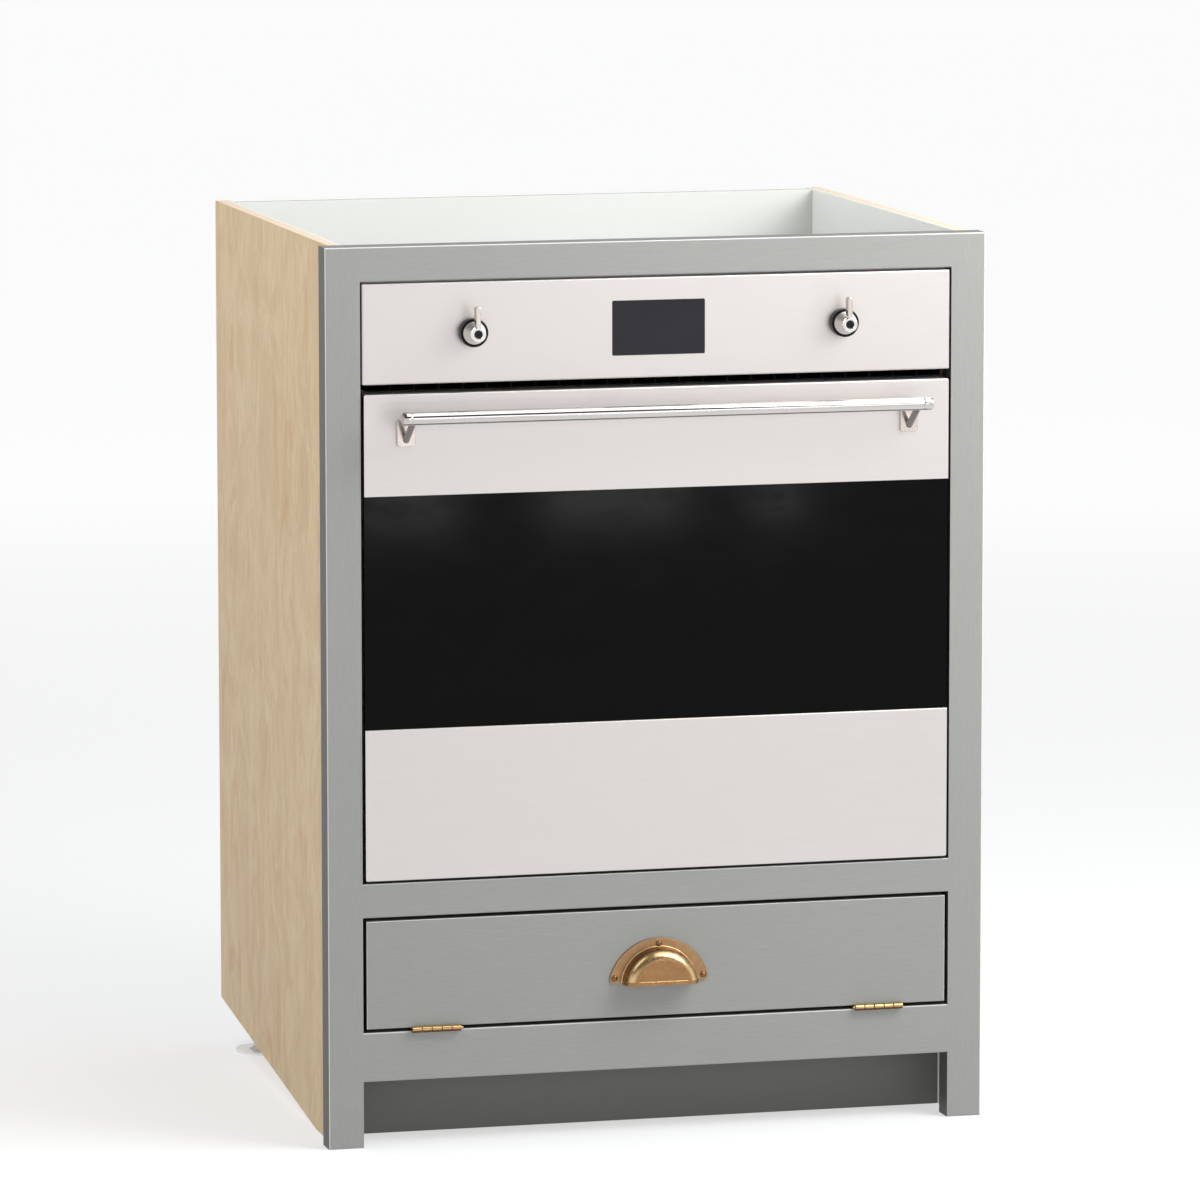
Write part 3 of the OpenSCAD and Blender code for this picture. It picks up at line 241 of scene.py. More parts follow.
def brushed(name, colour, rough, along=0, fine=0.45):
    """Sheet metal with hairline brushing along one axis."""
    look = Look(name, colour, Metallic=1.0, Roughness=rough)
    lines = look.noise(drawn_out(fine, along, 38.0), detail=3.0, rough=0.7)
    bands = look.noise(drawn_out(2.2, along, 130.0), detail=2.0)
    tone = look.mix(look.spread(lines, 0.3, 0.7), scaled(colour, 0.95), scaled(colour, 1.025))
    look.colour(look.mix(look.spread(bands, 0.35, 0.65, 0.0, 0.35), tone, scaled(colour, 0.97)))
    look.rough(look.spread(lines, 0.3, 0.7, rough - 0.05, rough + 0.06))
    look.bump(lines, 0.02, 0.6)
    return look.material


def polished(name, colour, rough, wear=0.06):
    """Bright metal with faint wipe marks."""
    look = Look(name, colour, Metallic=1.0, Roughness=rough)
    wipe = look.noise((9, 3, 9), detail=4.0, rough=0.65)
    look.rough(look.spread(wipe, 0.35, 0.7, rough, rough + wear))
    look.colour(look.mix(look.spread(wipe, 0.3, 0.8, 0.0, 0.25), colour, scaled(colour, 0.9)))
    look.bump(look.noise((0.8, 0.8, 0.8), detail=2.0), 0.0012, 0.25)
    return look.material


def aged(name, colour, dark, rough, highlight_colour=None):
    """Cast brass, dulled and mottled; the last argument, when given, is a lighter brass painted on
    the cup's shoulder as a highlight.
    """
    look = Look(name, colour, Metallic=1.0, Roughness=rough)
    patina = look.noise((5, 5, 5), detail=4.0, rough=0.6, twist=0.3)
    speck = look.noise((0.8, 0.8, 0.8), detail=3.0, rough=0.6)
    tone = look.mix(look.spread(patina, 0.36, 0.68, 0.0, 0.7), colour, dark)
    # Painted highlight: faces between the cup's wall and its flat front, turned partly forward,
    # blend to the lighter brass.
    if highlight_colour:
        front = look.math("MULTIPLY", look.axis(look.normal, 1), -1.0)
        off_wall, off_flat = look.spread(front, 0.3, 0.62), look.spread(front, 0.985, 0.88)
        tone = look.mix(look.math("MULTIPLY", off_wall, off_flat), tone, highlight_colour)
    look.colour(look.mix(look.spread(speck, 0.5, 0.8, 0.0, 0.4), tone, scaled(dark, 0.6)))
    look.rough(look.spread(patina, 0.3, 0.7, rough - 0.03, rough + 0.07))
    look.bump(speck, 0.004, 0.3)
    look.bump(patina, 0.03, 0.25)
    return look.material


def shaded_underneath(name, colour, dark, rough):
    """Rolled brass, with painted shade in dark brown where it faces down."""
    look = Look(name, colour, Metallic=1.0, Roughness=rough)
    wipe = look.noise((6, 3, 3), detail=4.0, rough=0.65)
    upwards = look.axis(look.normal, 2)
    tone = look.mix(look.spread(wipe, 0.35, 0.75, 0.0, 0.35), colour, scaled(colour, 0.8))
    # Painted shade: faces that turn down blend to the dark brown.
    look.colour(look.mix(look.spread(upwards, -0.3, 0.25, 0.95, 0.0), tone, dark))
    look.rough(look.spread(wipe, 0.35, 0.7, rough, rough + 0.08))
    return look.material


def zinc(name, colour, rough):
    """Galvanised sheet with its soft crystal patches."""
    look = Look(name, colour, Metallic=1.0, Roughness=rough)
    spangle = look.add("ShaderNodeSeparateColor", look.spots(9)["Color"])
    haze = look.noise((60, 60, 60), detail=3.0)
    tone = look.mix(spangle, scaled(colour, 0.82), scaled(colour, 1.08))
    look.colour(look.mix(look.spread(haze, 0.3, 0.7, 0.0, 0.4), tone, scaled(colour, 0.9)))
    look.rough(look.spread(spangle, 0.0, 1.0, rough - 0.07, rough + 0.1))
    look.bump(haze, 0.05, 0.3)
    return look.material


def moulded(name, colour, rough, ior=1.49, gloss=0.0):
    """Moulded plastic with a fine spark-eroded texture."""
    look = Look(name, colour, Roughness=rough, IOR=ior, Coat_Weight=gloss, Coat_IOR=2.0)
    skin = look.noise((0.5, 0.5, 0.5), detail=2.0)
    flow = look.noise((22, 22, 22), detail=2.0)
    look.colour(look.mix(look.spread(flow, 0.3, 0.7), scaled(colour, 0.94), scaled(colour, 1.06)))
    look.rough(look.spread(skin, 0.3, 0.7, rough - 0.06, rough + 0.08))
    look.bump(skin, 0.02, 0.5)
    return look.material


def enamelled(name, colour, fleck, rough):
    """Vitreous enamel: glossy, slightly rippled, with pale flecks."""
    look = Look(name, colour, Roughness=rough, IOR=1.52)
    dots = look.spots(3.4)["Distance"]
    ripple = look.noise((16, 16, 16), detail=2.0)
    look.colour(look.mix(look.spread(dots, 0.1, 0.17, 0.8, 0.0), colour, fleck))
    look.rough(look.spread(ripple, 0.3, 0.7, rough, rough + 0.1))
    look.bump(ripple, 0.12, 0.4)
    return look.material


def glazed(name, colour, ior, rough=0.03):
    """Dark toughened glass with a trace of smear and the roller wave."""
    look = Look(name, colour, Roughness=rough, IOR=ior)
    wave = look.noise((210, 210, 60), detail=1.0)
    smear = look.noise((48, 20, 26), detail=4.0, rough=0.6)
    look.rough(look.spread(smear, 0.45, 0.8, rough, rough + 0.05))
    look.colour(look.mix(look.spread(smear, 0.4, 0.8, 0.0, 0.3), colour, scaled(colour, 1.35)))
    look.bump(wave, 0.05, 0.25)
    return look.material


def woolly(name, colour):
    """Mineral wool: matted fibres in soft lumps."""
    look = Look(name, colour, Roughness=0.95)
    fibre = look.noise((1.4, 7, 1.0), detail=5.0, rough=0.75, twist=1.2)
    lump = look.noise((26, 26, 26), detail=3.0)
    tone = look.mix(look.spread(fibre, 0.3, 0.7), scaled(colour, 0.62), scaled(colour, 1.12))
    look.colour(look.mix(look.spread(lump, 0.35, 0.7, 0.0, 0.4), tone, scaled(colour, 0.75)))
    look.bump(fibre, 1.2, 0.8)
    return look.material


def rubbery(name, colour):
    """Woven glass-fibre gasket, almost black."""
    look = Look(name, colour, Roughness=0.8)
    braid = look.spots(1.6, scatter=0.3)["Distance"]
    look.colour(look.mix(look.spread(braid, 0.1, 0.6), scaled(colour, 1.9), scaled(colour, 0.6)))
    look.bump(braid, 0.4, 0.7)
    return look.material


PAINT = (0.297, 0.299, 0.285)
BIRCH = (0.575, 0.418, 0.228)
BIRCH_DARK = (0.485, 0.318, 0.152)
STEEL = (0.635, 0.60, 0.582)
BRIGHT = (0.56, 0.54, 0.525)
BRASS = (0.62, 0.42, 0.17)
OLD_BRASS = (0.38, 0.23, 0.115)
CUP_BRASS = (0.35, 0.196, 0.09)
CUP_DARK = (0.28, 0.148, 0.064)

paint_up = painted("paint_upright", PAINT, 2)
paint_across = painted("paint_across", PAINT, 0)
paint_flap = painted("paint_flap", scaled(PAINT, 0.98), 0)
# The plinth is the frame's paint at 0.4 of its colour: painted shade for the recess under the
# cabinet.
shaded_plinth_paint = painted("shaded_plinth_paint", scaled(PAINT, 0.40), 0)
veneer = veneered("birch_veneer", BIRCH, BIRCH_DARK)
ply_edge = plied("birch_edge", (0.80, 0.645, 0.48), (0.6, 0.46, 0.34), 3.7)
# The back panel and the side linings are the same white melamine, drawn darker on the back panel
# and lighter on the linings: painted shade and painted light for how light falls inside the
# cabinet.
white_board = coated_board("white_board", (0.66, 0.67, 0.64), (0.36, 0.30, 0.29))
lining_board = coated_board("lining_board", (0.85, 0.86, 0.83), (0.68, 0.685, 0.66))
pale_board = wood_board("birch_board", (0.78, 0.62, 0.42), (0.66, 0.48, 0.29), 0)
softwood = wood_board("softwood", (0.74, 0.56, 0.34), (0.58, 0.38, 0.19), 1)
softwood_up = wood_board("softwood_upright", (0.74, 0.56, 0.34), (0.58, 0.38, 0.19), 2)
front_steel = brushed("front_steel", STEEL, 0.42)
low_steel = brushed("front_steel_low", scaled(STEEL, 0.98), 0.42)
plain_steel = brushed("plain_steel", (0.56, 0.56, 0.57), 0.38, along=2)
bright_steel = polished("bright_steel", BRIGHT, 0.07, wear=0.03)
knob_steel = polished("knob_steel", (0.84, 0.82, 0.8), 0.07, wear=0.03)
face_steel = brushed("face_steel", (0.64, 0.58, 0.54), 0.22, fine=0.3)
plate_steel = polished("plate_steel", (0.64, 0.57, 0.52), 0.2)
# The rods are the bar's steel at half its colour: painted shade for the darkness they reflect.
rod_steel = polished("rod_steel", scaled(BRIGHT, 0.5), 0.14)
flange_steel = brushed("flange_steel", (0.32, 0.32, 0.33), 0.4)
zinc_steel = zinc("zinc_steel", (0.62, 0.63, 0.65), 0.38)
motor_steel = zinc("motor_steel", (0.45, 0.46, 0.48), 0.42)
aluminium = brushed("fan_aluminium", (0.7, 0.7, 0.71), 0.35, along=2)
chrome_wire = polished("chrome_wire", (0.72, 0.72, 0.73), 0.16)
element_steel = polished("element_steel", (0.2, 0.19, 0.19), 0.38)
aged_brass = aged("aged_brass", OLD_BRASS, (0.30, 0.175, 0.085), 0.36)
cup_brass = aged("cup_brass", CUP_BRASS, CUP_DARK, 0.26)
brass_with_shoulder_highlight = aged("brass_with_shoulder_highlight", CUP_BRASS, CUP_DARK, 0.26, highlight_colour=(0.74, 0.51, 0.26))
# Lighter brass for the bead and the lip's top edge: a painted highlight.
highlight_brass = aged("highlight_brass", (0.74, 0.52, 0.28), (0.58, 0.38, 0.19), 0.36)
screw_brass = aged("screw_brass", (0.27, 0.155, 0.08), (0.18, 0.10, 0.05), 0.3)
bright_brass = shaded_underneath("bright_brass", BRASS, (0.12, 0.045, 0.03), 0.2)
enamel = enamelled("enamel", (0.018, 0.02, 0.024), (0.22, 0.23, 0.25), 0.16)
black_glass = glazed("black_glass", (0.002, 0.002, 0.002), 1.16, 0.07)
display_glass = glazed("display_glass", (0.014, 0.0135, 0.0175), 1.34, 0.1)
inner_glass = glazed("inner_glass", (0.02, 0.02, 0.021), 1.5)
lamp_glass = enamelled("lamp_glass", (0.7, 0.68, 0.6), (0.8, 0.78, 0.72), 0.12)
black_gloss = moulded("black_gloss", (0.004, 0.004, 0.0045), 0.26, ior=1.33)
black_matte = moulded("black_matte", (0.018, 0.018, 0.019), 0.5)
# Near-black with almost no gloss, darker than the black plastic elsewhere: painted shade for the
# cooling slot.
slot_shade_black = moulded("slot_shade_black", (0.0025, 0.0025, 0.0025), 0.7, ior=1.15)
grey_plastic = moulded("grey_plastic", (0.82, 0.82, 0.83), 0.35, gloss=0.75)
ivory = moulded("ivory_plastic", (0.72, 0.68, 0.58), 0.45)
wool = woolly("mineral_wool", (0.55, 0.47, 0.26))
gasket = rubbery("seal_rubber", (0.02, 0.02, 0.021))

# Looks of the CAD nodes that stay as they are
NODE_LOOKS = {
    white_board: ["back_panel"],
    pale_board: ["base_panel", "oven_shelf"],
    softwood: ["shelf_battens"],
    softwood_up: ["fixing_battens"],
    paint_up: ["stile_left", "stile_right"],
    paint_across: ["top_rail", "middle_rail", "bottom_rail"],
    paint_flap: ["flap_panel"],
    shaded_plinth_paint: ["plinth"],
    black_matte: ["leg_columns", "clock_module", "mains_inlet"],
    ivory: ["magnetic_catch", "switch_bodies"],
    bright_brass: ["hinge_pins"],
    grey_plastic: ["foot_left", "foot_right"],
    plain_steel: ["catch_strike", "oven_screws", "door_hinge_arms",
                  "door_hinge_channels", "door_inner_frame"],
    zinc_steel: ["oven_case_left", "oven_case_right", "oven_case_top",
                 "oven_case_base", "oven_case_back", "control_tray"],
    wool: ["insulation_slabs"],
    enamel: ["cavity_liner", "fan_cover"],
    flange_steel: ["oven_front_frame"],
    gasket: ["door_seal"],
    chrome_wire: ["rack_runners", "wire_rack"],
    motor_steel: ["fan_motor"],
    aluminium: ["fan_impeller"],
    element_steel: ["heating_elements"],
    lamp_glass: ["lamp_lens"],
    front_steel: ["control_fascia", "door_band_upper"],
    low_steel: ["door_band_lower"],
    display_glass: ["display_window"],
    black_glass: ["door_glass_outer"],
    inner_glass: ["door_glass_inner"],
    screw_brass: ["pull_screws"],
}
for material, names in NODE_LOOKS.items():
    for node_name in names:
        mesh = NODES[node_name].data
        mesh.materials.clear()
        mesh.materials.append(material)


# ---------- building pieces ----------

def piece(name, bm, body, looks, replaces=(), round_by=0.0, steps=2, sharp=35):
    """Turns a mesh drawn in millimetres into a piece that rides on a body.

    round_by eases its arrises, and sharp is the angle from which an edge is one.
    """
    bmesh.ops.recalc_face_normals(bm, faces=bm.faces)
    bm.transform(TO_SCENE)
    mesh = bpy.data.meshes.new(name)
    bm.to_mesh(mesh)
    bm.free()
    for look in looks:
        mesh.materials.append(look)
    mesh.polygons.foreach_set("use_smooth", [True] * len(mesh.polygons))
    obj = bpy.data.objects.new(name, mesh)
    bpy.context.scene.collection.objects.link(obj)
    if round_by:
        bevel = obj.modifiers.new("arris", "BEVEL")
        bevel.width = round_by * MM
        bevel.segments = steps
        bevel.limit_method = "ANGLE"
        bevel.angle_limit = math.radians(sharp)
        shade = obj.modifiers.new("shade", "WEIGHTED_NORMAL")
        shade.keep_sharp = True
    else:
        mesh.set_sharp_from_angle(angle=math.radians(sharp))
    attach(obj, body)
    if replaces:
        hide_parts(*replaces)


def arc(centre, radius, start, end, count):
    """Points on a circle, from one angle to another, in degrees."""
    points = []
    for i in range(count + 1):
        a = math.radians(start + (end - start) * i / count)
        points.append((centre[0] + radius * math.cos(a), centre[1] + radius * math.sin(a)))
    return points


def prism(bm, outline, spot, low, high, index=0):
    """Runs a flat outline from low to high; spot(a, b, t) places its points."""
    ends = []
    for t in (low, high):
        ends.append([bm.verts.new(spot(a, b, t)) for a, b in outline])
    count = len(outline)
    faces = [bm.faces.new(ends[0]), bm.faces.new(ends[1][::-1])]
    for i in range(count):
        j = (i + 1) % count
        faces.append(bm.faces.new((ends[0][i], ends[0][j], ends[1][j], ends[1][i])))
    for face in faces:
        face.material_index = index
    return faces


def facing(a, b, t):
    """Outlines drawn as (x, z), run along y."""
    return a, t, b


def sideways(a, b, t):
    """Outlines drawn as (y, z), run along x."""
    return t, a, b


def turned(bm, profile, spot, count=72, start=0.0, sweep=360.0):
    """Turns a profile of (radius, height) round an axis; spot(a, b, height) places it."""
    whole = abs(sweep) >= 360
    rings = []
    for i in range(count if whole else count + 1):
        a = math.radians(start + sweep * i / count)
        ring = []
        for radius, height in profile:
            if radius == 0 and rings:
                ring.append(rings[0][len(ring)])
            else:
                across, up = radius * math.cos(a), radius * math.sin(a)
                ring.append(bm.verts.new(spot(across, up, height)))
        rings.append(ring)
    for i in range(count):
        one, two = rings[i], rings[(i + 1) % len(rings)]
        for k in range(len(profile) - 1):
            corners = []
            for v in (one[k], one[k + 1], two[k + 1], two[k]):
                if v not in corners:
                    corners.append(v)
            if len(corners) > 2:
                bm.faces.new(corners)
    return rings


def out_from(x, z):
    """A spot function for things that stand out of the front at (x, z)."""
    return lambda a, b, h: (x + a, -h, z + b)


def swept(bm, path, frames, section):
    """Sweeps a section of (side, up) along a path; frames gives each point's two axes."""
    rings = []
    for point, (side, up) in zip(path, frames):
        rings.append([bm.verts.new(point + side * a + up * b) for a, b in section])
    count = len(section)
    for one, two in zip(rings, rings[1:]):
        for k in range(count):
            m = (k + 1) % count
            bm.faces.new((one[k], one[m], two[m], two[k]))
    bm.faces.new(rings[0])
    bm.faces.new(rings[-1][::-1])


def rectangle(x1, x2, z1, z2):
    return [(x1, z1), (x2, z1), (x2, z2), (x1, z2)]


# ---------- side panels ----------

def side_panel(side):
    """Veneered board: birch outside, white inside, plies showing on its edges.

    Its lower edge stands on a short toe at the front and slopes up towards the rear.
    """
    node = "side_panel_right" if side > 0 else "side_panel_left"
    low, high = in_mm(node)
    inner, outer = sorted((low.x, high.x), key=abs)
    toe, rise, lining = 73.0, 50.0, 3.8
    outline = [(low.y, 0), (low.y + toe, 0), (high.y, rise), (high.y, high.z),
               (low.y, high.z)]
    joint = inner + side * lining
    board = bmesh.new()
    faces = prism(board, outline, sideways, joint, outer, index=1)
    faces[1].material_index = 0
    piece(f"{node}_veneered", board, "cabinet", [veneer, ply_edge], [node],
          round_by=0.5)
    sheet = bmesh.new()
    prism(sheet, outline, sideways, inner, joint)
    piece(f"{node}_lining", sheet, "cabinet", [lining_board], round_by=0.3)


for side in (-1, 1):
    side_panel(side)


# ---------- cup pull ----------

def cup_pull():
    """Half-round plate, pressed cup with a rolled lip, and a bead where they meet."""
    low, high = in_mm("cup_pull")
    foot, plate_t = low.z, 1.8
    plate_r, corner_r, cup_r = 52.0, 5.0, 37.5
    depth, shoulder, wall, sink = 22.0, 11.0, 1.8, 2.5
    disc = (0.0, high.z - plate_r)
    corner_z = foot + corner_r
    corner_x = math.sqrt((plate_r - corner_r) ** 2 - (corner_z - disc[1]) ** 2)
    lean = math.degrees(math.asin((corner_z - disc[1]) / (plate_r - corner_r)))
    mouth = cup_r - wall
    flat_r, turn_y = cup_r - shoulder, depth - shoulder
    axis = out_from(0, foot - sink)
    cut = math.degrees(math.asin(sink / mouth))
    outline = [(mouth * math.cos(math.radians(cut)), foot)]
    outline += arc((corner_x, corner_z), corner_r, -90, lean, 8)
    outline += arc(disc, plate_r, lean, 180 - lean, 64)[1:-1]
    outline += arc((-corner_x, corner_z), corner_r, 180 - lean, 270, 8)
    outline += arc((0, foot - sink), mouth, 180 - cut, cut, 48)[:-1]
    plate = bmesh.new()
    prism(plate, outline, facing, -plate_t, 0)
    piece("cup_pull_plate", plate, "flap", [aged_brass], ["cup_pull"],
          round_by=0.55, steps=3)

    # The cup is half a turned shell, cut off level with the plate's foot.
    cup = bmesh.new()
    outer = [(cup_r + 1.5, plate_t - 0.3), (cup_r + 1.5, plate_t + 0.5),
             (cup_r + 1.1, plate_t + 1.1), (cup_r + 0.5, plate_t + 1.2),
             (cup_r, plate_t + 0.9), (cup_r - 0.3, turn_y)]
    outer += arc((flat_r, turn_y), shoulder - 0.3, 0, 90, 14)[1:]
    outer += [(flat_r - 0.9, depth - 0.75), (flat_r - 1.6, depth - 1.05), (0.0, depth - 1.05)]
    inside = [(0.0, depth - wall - 1), (flat_r, depth - wall - 1)]
    inside += arc((flat_r, turn_y), shoulder - wall - 1, 90, 0, 10)[1:]
    inside += [(mouth, plate_t - 0.3)]
    rings = turned(cup, outer + inside, axis, count=64, sweep=180)
    for one, two in zip(rings, rings[1:]):
        cup.faces.new((one[-1], one[0], two[0], two[-1]))
    for ring in (rings[0], rings[-1]):
        cup.faces.new(ring)
    bmesh.ops.remove_doubles(cup, verts=cup.verts, dist=0.001)
    bmesh.ops.recalc_face_normals(cup, faces=cup.faces)
    sliced = bmesh.ops.bisect_plane(cup, geom=cup.verts[:] + cup.edges[:] + cup.faces[:],
                                    plane_co=(0, 0, foot), plane_no=(0, 0, -1),
                                    clear_outer=True)
    edges = [e for e in sliced["geom_cut"] if isinstance(e, bmesh.types.BMEdge)]
    bmesh.ops.contextual_create(cup, geom=edges)
    # Faces outside the flat take the brass with the painted shoulder highlight.
    for face in cup.faces:
        middle = face.calc_center_median()
        if math.hypot(middle.x, middle.z - foot + sink) > flat_r:
            face.material_index = 1
    piece("cup_pull_cup", cup, "flap", [cup_brass, brass_with_shoulder_highlight], sharp=40)

    # The bead is in the lighter brass, a painted highlight.
    bead = bmesh.new()
    ring = [(cup_r + 0.9 + a, plate_t + 0.4 + b) for a, b in arc((0, 0), 0.95, 0, 360, 12)]
    level = math.degrees(math.asin(sink / cup_r)) + 1
    turned(bead, ring, axis, start=level, sweep=180 - 2 * level)
    bmesh.ops.remove_doubles(bead, verts=bead.verts, dist=0.001)
    bmesh.ops.holes_fill(bead, edges=bead.edges[:], sides=20)
    piece("cup_pull_bead", bead, "flap", [highlight_brass], sharp=60)

    # The lip is a flat band round the cup's mouth; the thin tube of lighter brass along its top is
    # a painted highlight.
    lip = bmesh.new()
    tall = 1.8
    section = [(-0.9, -tall), (0.75, -tall), (1.0, -1.55), (1.0, 1.0), (0.85, 1.45),
               (0.5, 1.72), (0.1, tall), (-0.9, tall)]
    run = [(cup_r - 0.6, 0.6), (cup_r - 0.6, turn_y)]
    run += arc((flat_r, turn_y), shoulder - 0.6, 0, 90, 14)[1:]
    run += [(x, depth - 0.35) for x in (20, 10, 0)]
    run += [(-x, out) for x, out in run[-2::-1]]
    path = [Vector((x, -out, foot + tall)) for x, out in run]
    frames = []
    for i in range(len(path)):
        ahead = (path[min(i + 1, len(path) - 1)] - path[max(i - 1, 0)]).normalized()
        frames.append((Vector((ahead.y, -ahead.x, 0)), Vector((0, 0, 1))))
    swept(lip, path, frames, section)
    piece("cup_pull_lip", lip, "flap", [cup_brass])

    edge = bmesh.new()
    path = [point + up * (tall - 0.2) + side * 0.6 for point, (side, up) in zip(path, frames)]
    swept(edge, path, frames, arc((0, 0), 0.8, 0, 360, 16)[:-1])
    piece("cup_pull_lip_edge", edge, "flap", [highlight_brass])


cup_pull()


# ---------- hinges ----------

def hinge_half(name, node, body, places, way):
    """Barrel pieces with rounded ends, and the leaf they are rolled from with its screws.

    way is 1 for a leaf that faces up from the frame, and -1 for one that faces down from the flap.
    """
    low, high = in_mm("hinge_pins")
    length, barrel, count, gap, end = 50.0, 3.0, 5, 0.5, 0.6
    pitch = length / count
    y, z = (low.y + high.y) / 2, (low.z + high.z) / 2
    face = z - way * 0.25
    under, over = sorted((z - way * 1.75, face))
    front, leaf_back = 0.2, in_mm(node)[1].y
    bm = bmesh.new()
    for middle in (low.x + length / 2 - end, high.x - length / 2 + end):
        along = lambda a, b, h: (middle + h, y + a, z + b)
        for place in places:
            start = place * pitch - length / 2 + gap / 2
            stop = start + pitch - gap
            profile = [(0.0, start), (barrel - 0.5, start), (barrel - 0.15, start + 0.15),
                       (barrel, start + 0.5), (barrel, stop - 0.5),
                       (barrel - 0.15, stop - 0.15), (barrel - 0.5, stop), (0.0, stop)]
            turned(bm, profile, along, count=40)
            prism(bm, rectangle(middle + start, middle + stop, under, over), facing, y, front)
        leaf = rectangle(middle - length / 2, middle + length / 2, under, over)
        prism(bm, leaf, facing, front, leaf_back)
        for across, back in ((17, 6), (9, 13)):
            for side in (-1, 1):
                head = lambda a, b, h: (middle + side * across + a, back + b, face + way * h)
                turned(bm, [(2.1, -0.2), (2.1, 0.1), (0.9, 0.18), (0.7, 0.05), (0.0, 0.05)],
                       head, count=24)
    piece(name, bm, body, [bright_brass], [node], sharp=20)


hinge_half("hinge_frame_half", "frame_hinge_leaves", "cabinet", (0, 2, 4), 1)
hinge_half("hinge_flap_half", "flap_hinge_leaves", "flap", (1, 3), -1)


# ---------- cooling grille ----------

def grille():
    """Upright fins in the cooling slot, in front of a near-black sheet that is painted shade for
    the depth of the slot.
    """
    low, high = in_mm("vent_grille")
    slots, rim = 24, 1.2
    pitch = (high.x - low.x) / slots
    sheet_y = high.y - 0.8
    bm = bmesh.new()
    prism(bm, rectangle(low.x, high.x, low.z, high.z), facing, sheet_y, high.y)
    prism(bm, rectangle(low.x, high.x, low.z, low.z + rim), facing, low.y, sheet_y)
    prism(bm, rectangle(low.x, high.x, high.z - rim, high.z), facing, low.y, sheet_y)
    for i in range(slots + 1):
        x = low.x + i * pitch
        fin = rectangle(max(x - rim, low.x), min(x + rim, high.x), low.z + rim, high.z - rim)
        prism(bm, fin, facing, low.y, sheet_y)
    piece("grille_fins", bm, "cabinet", [slot_shade_black], ["vent_grille"])


grille()


# ---------- knobs ----------

def knob(name, body):
    """Turned cone in a black collar, with a flat lever and a hexagon screw in its face."""
    low, high = in_mm(name)
    skirt, face, well, out = 12.3, 7.35, 4.15, -low.y
    x, z = (low.x + high.x) / 2, low.z + skirt
    spot = out_from(x, z)
    cone = bmesh.new()
    turned(cone, [(3.0, 2.4), (skirt, 2.4), (skirt, 9.4), (skirt - 0.25, 10.1),
                  (face + 0.35, out - 1.0), (face - 0.2, out - 0.25), (face - 0.9, out),
                  (well + 0.35, out), (well, out - 0.4), (well, out - 2.0), (0.0, out - 2.0)],
           spot, count=96)
    piece(f"{name}_cone", cone, body, [knob_steel], [name], sharp=15)

    lever = bmesh.new()
    half, root, reach = 2.4, 5.6, 27.0
    outline = [(-half, root), (half, root)] + arc((0, reach - half), half, 0, 180, 16)
    prism(lever, outline, spot, out - 9.0, out - 0.05)
    piece(f"{name}_lever", lever, body, [face_steel], round_by=0.7, steps=4)

    screw = bmesh.new()
    turned(screw, [(well - 0.15, out - 1.9), (well - 0.15, out - 0.75), (well - 0.5, out - 0.5),
                   (1.75, out - 0.5), (1.6, out - 0.7), (1.6, out - 1.8), (0.0, out - 1.8)],
           spot, count=48)
    piece(f"{name}_screw", screw, body, [black_gloss], sharp=30)


knob("knob_left", "function_knob")
knob("knob_right", "thermostat_knob")


def collars():
    """Black rings that the knobs sit in."""
    low, high = in_mm("knob_collars")
    z = (low.z + high.z) / 2
    radius, height = 14.0, 10.0
    bm = bmesh.new()
    for x in (low.x + radius, high.x - radius):
        profile = [(12.6, 2.1), (12.6, height - 0.35), (12.85, height), (radius - 0.6, height),
                   (radius - 0.1, height - 0.5), (radius, height - 1.2), (radius, 0.0)]
        turned(bm, profile, out_from(x, z), count=96)
    piece("collar_rings", bm, "cabinet", [black_gloss], ["knob_collars"],
          sharp=30)


collars()


# ---------- handle ----------

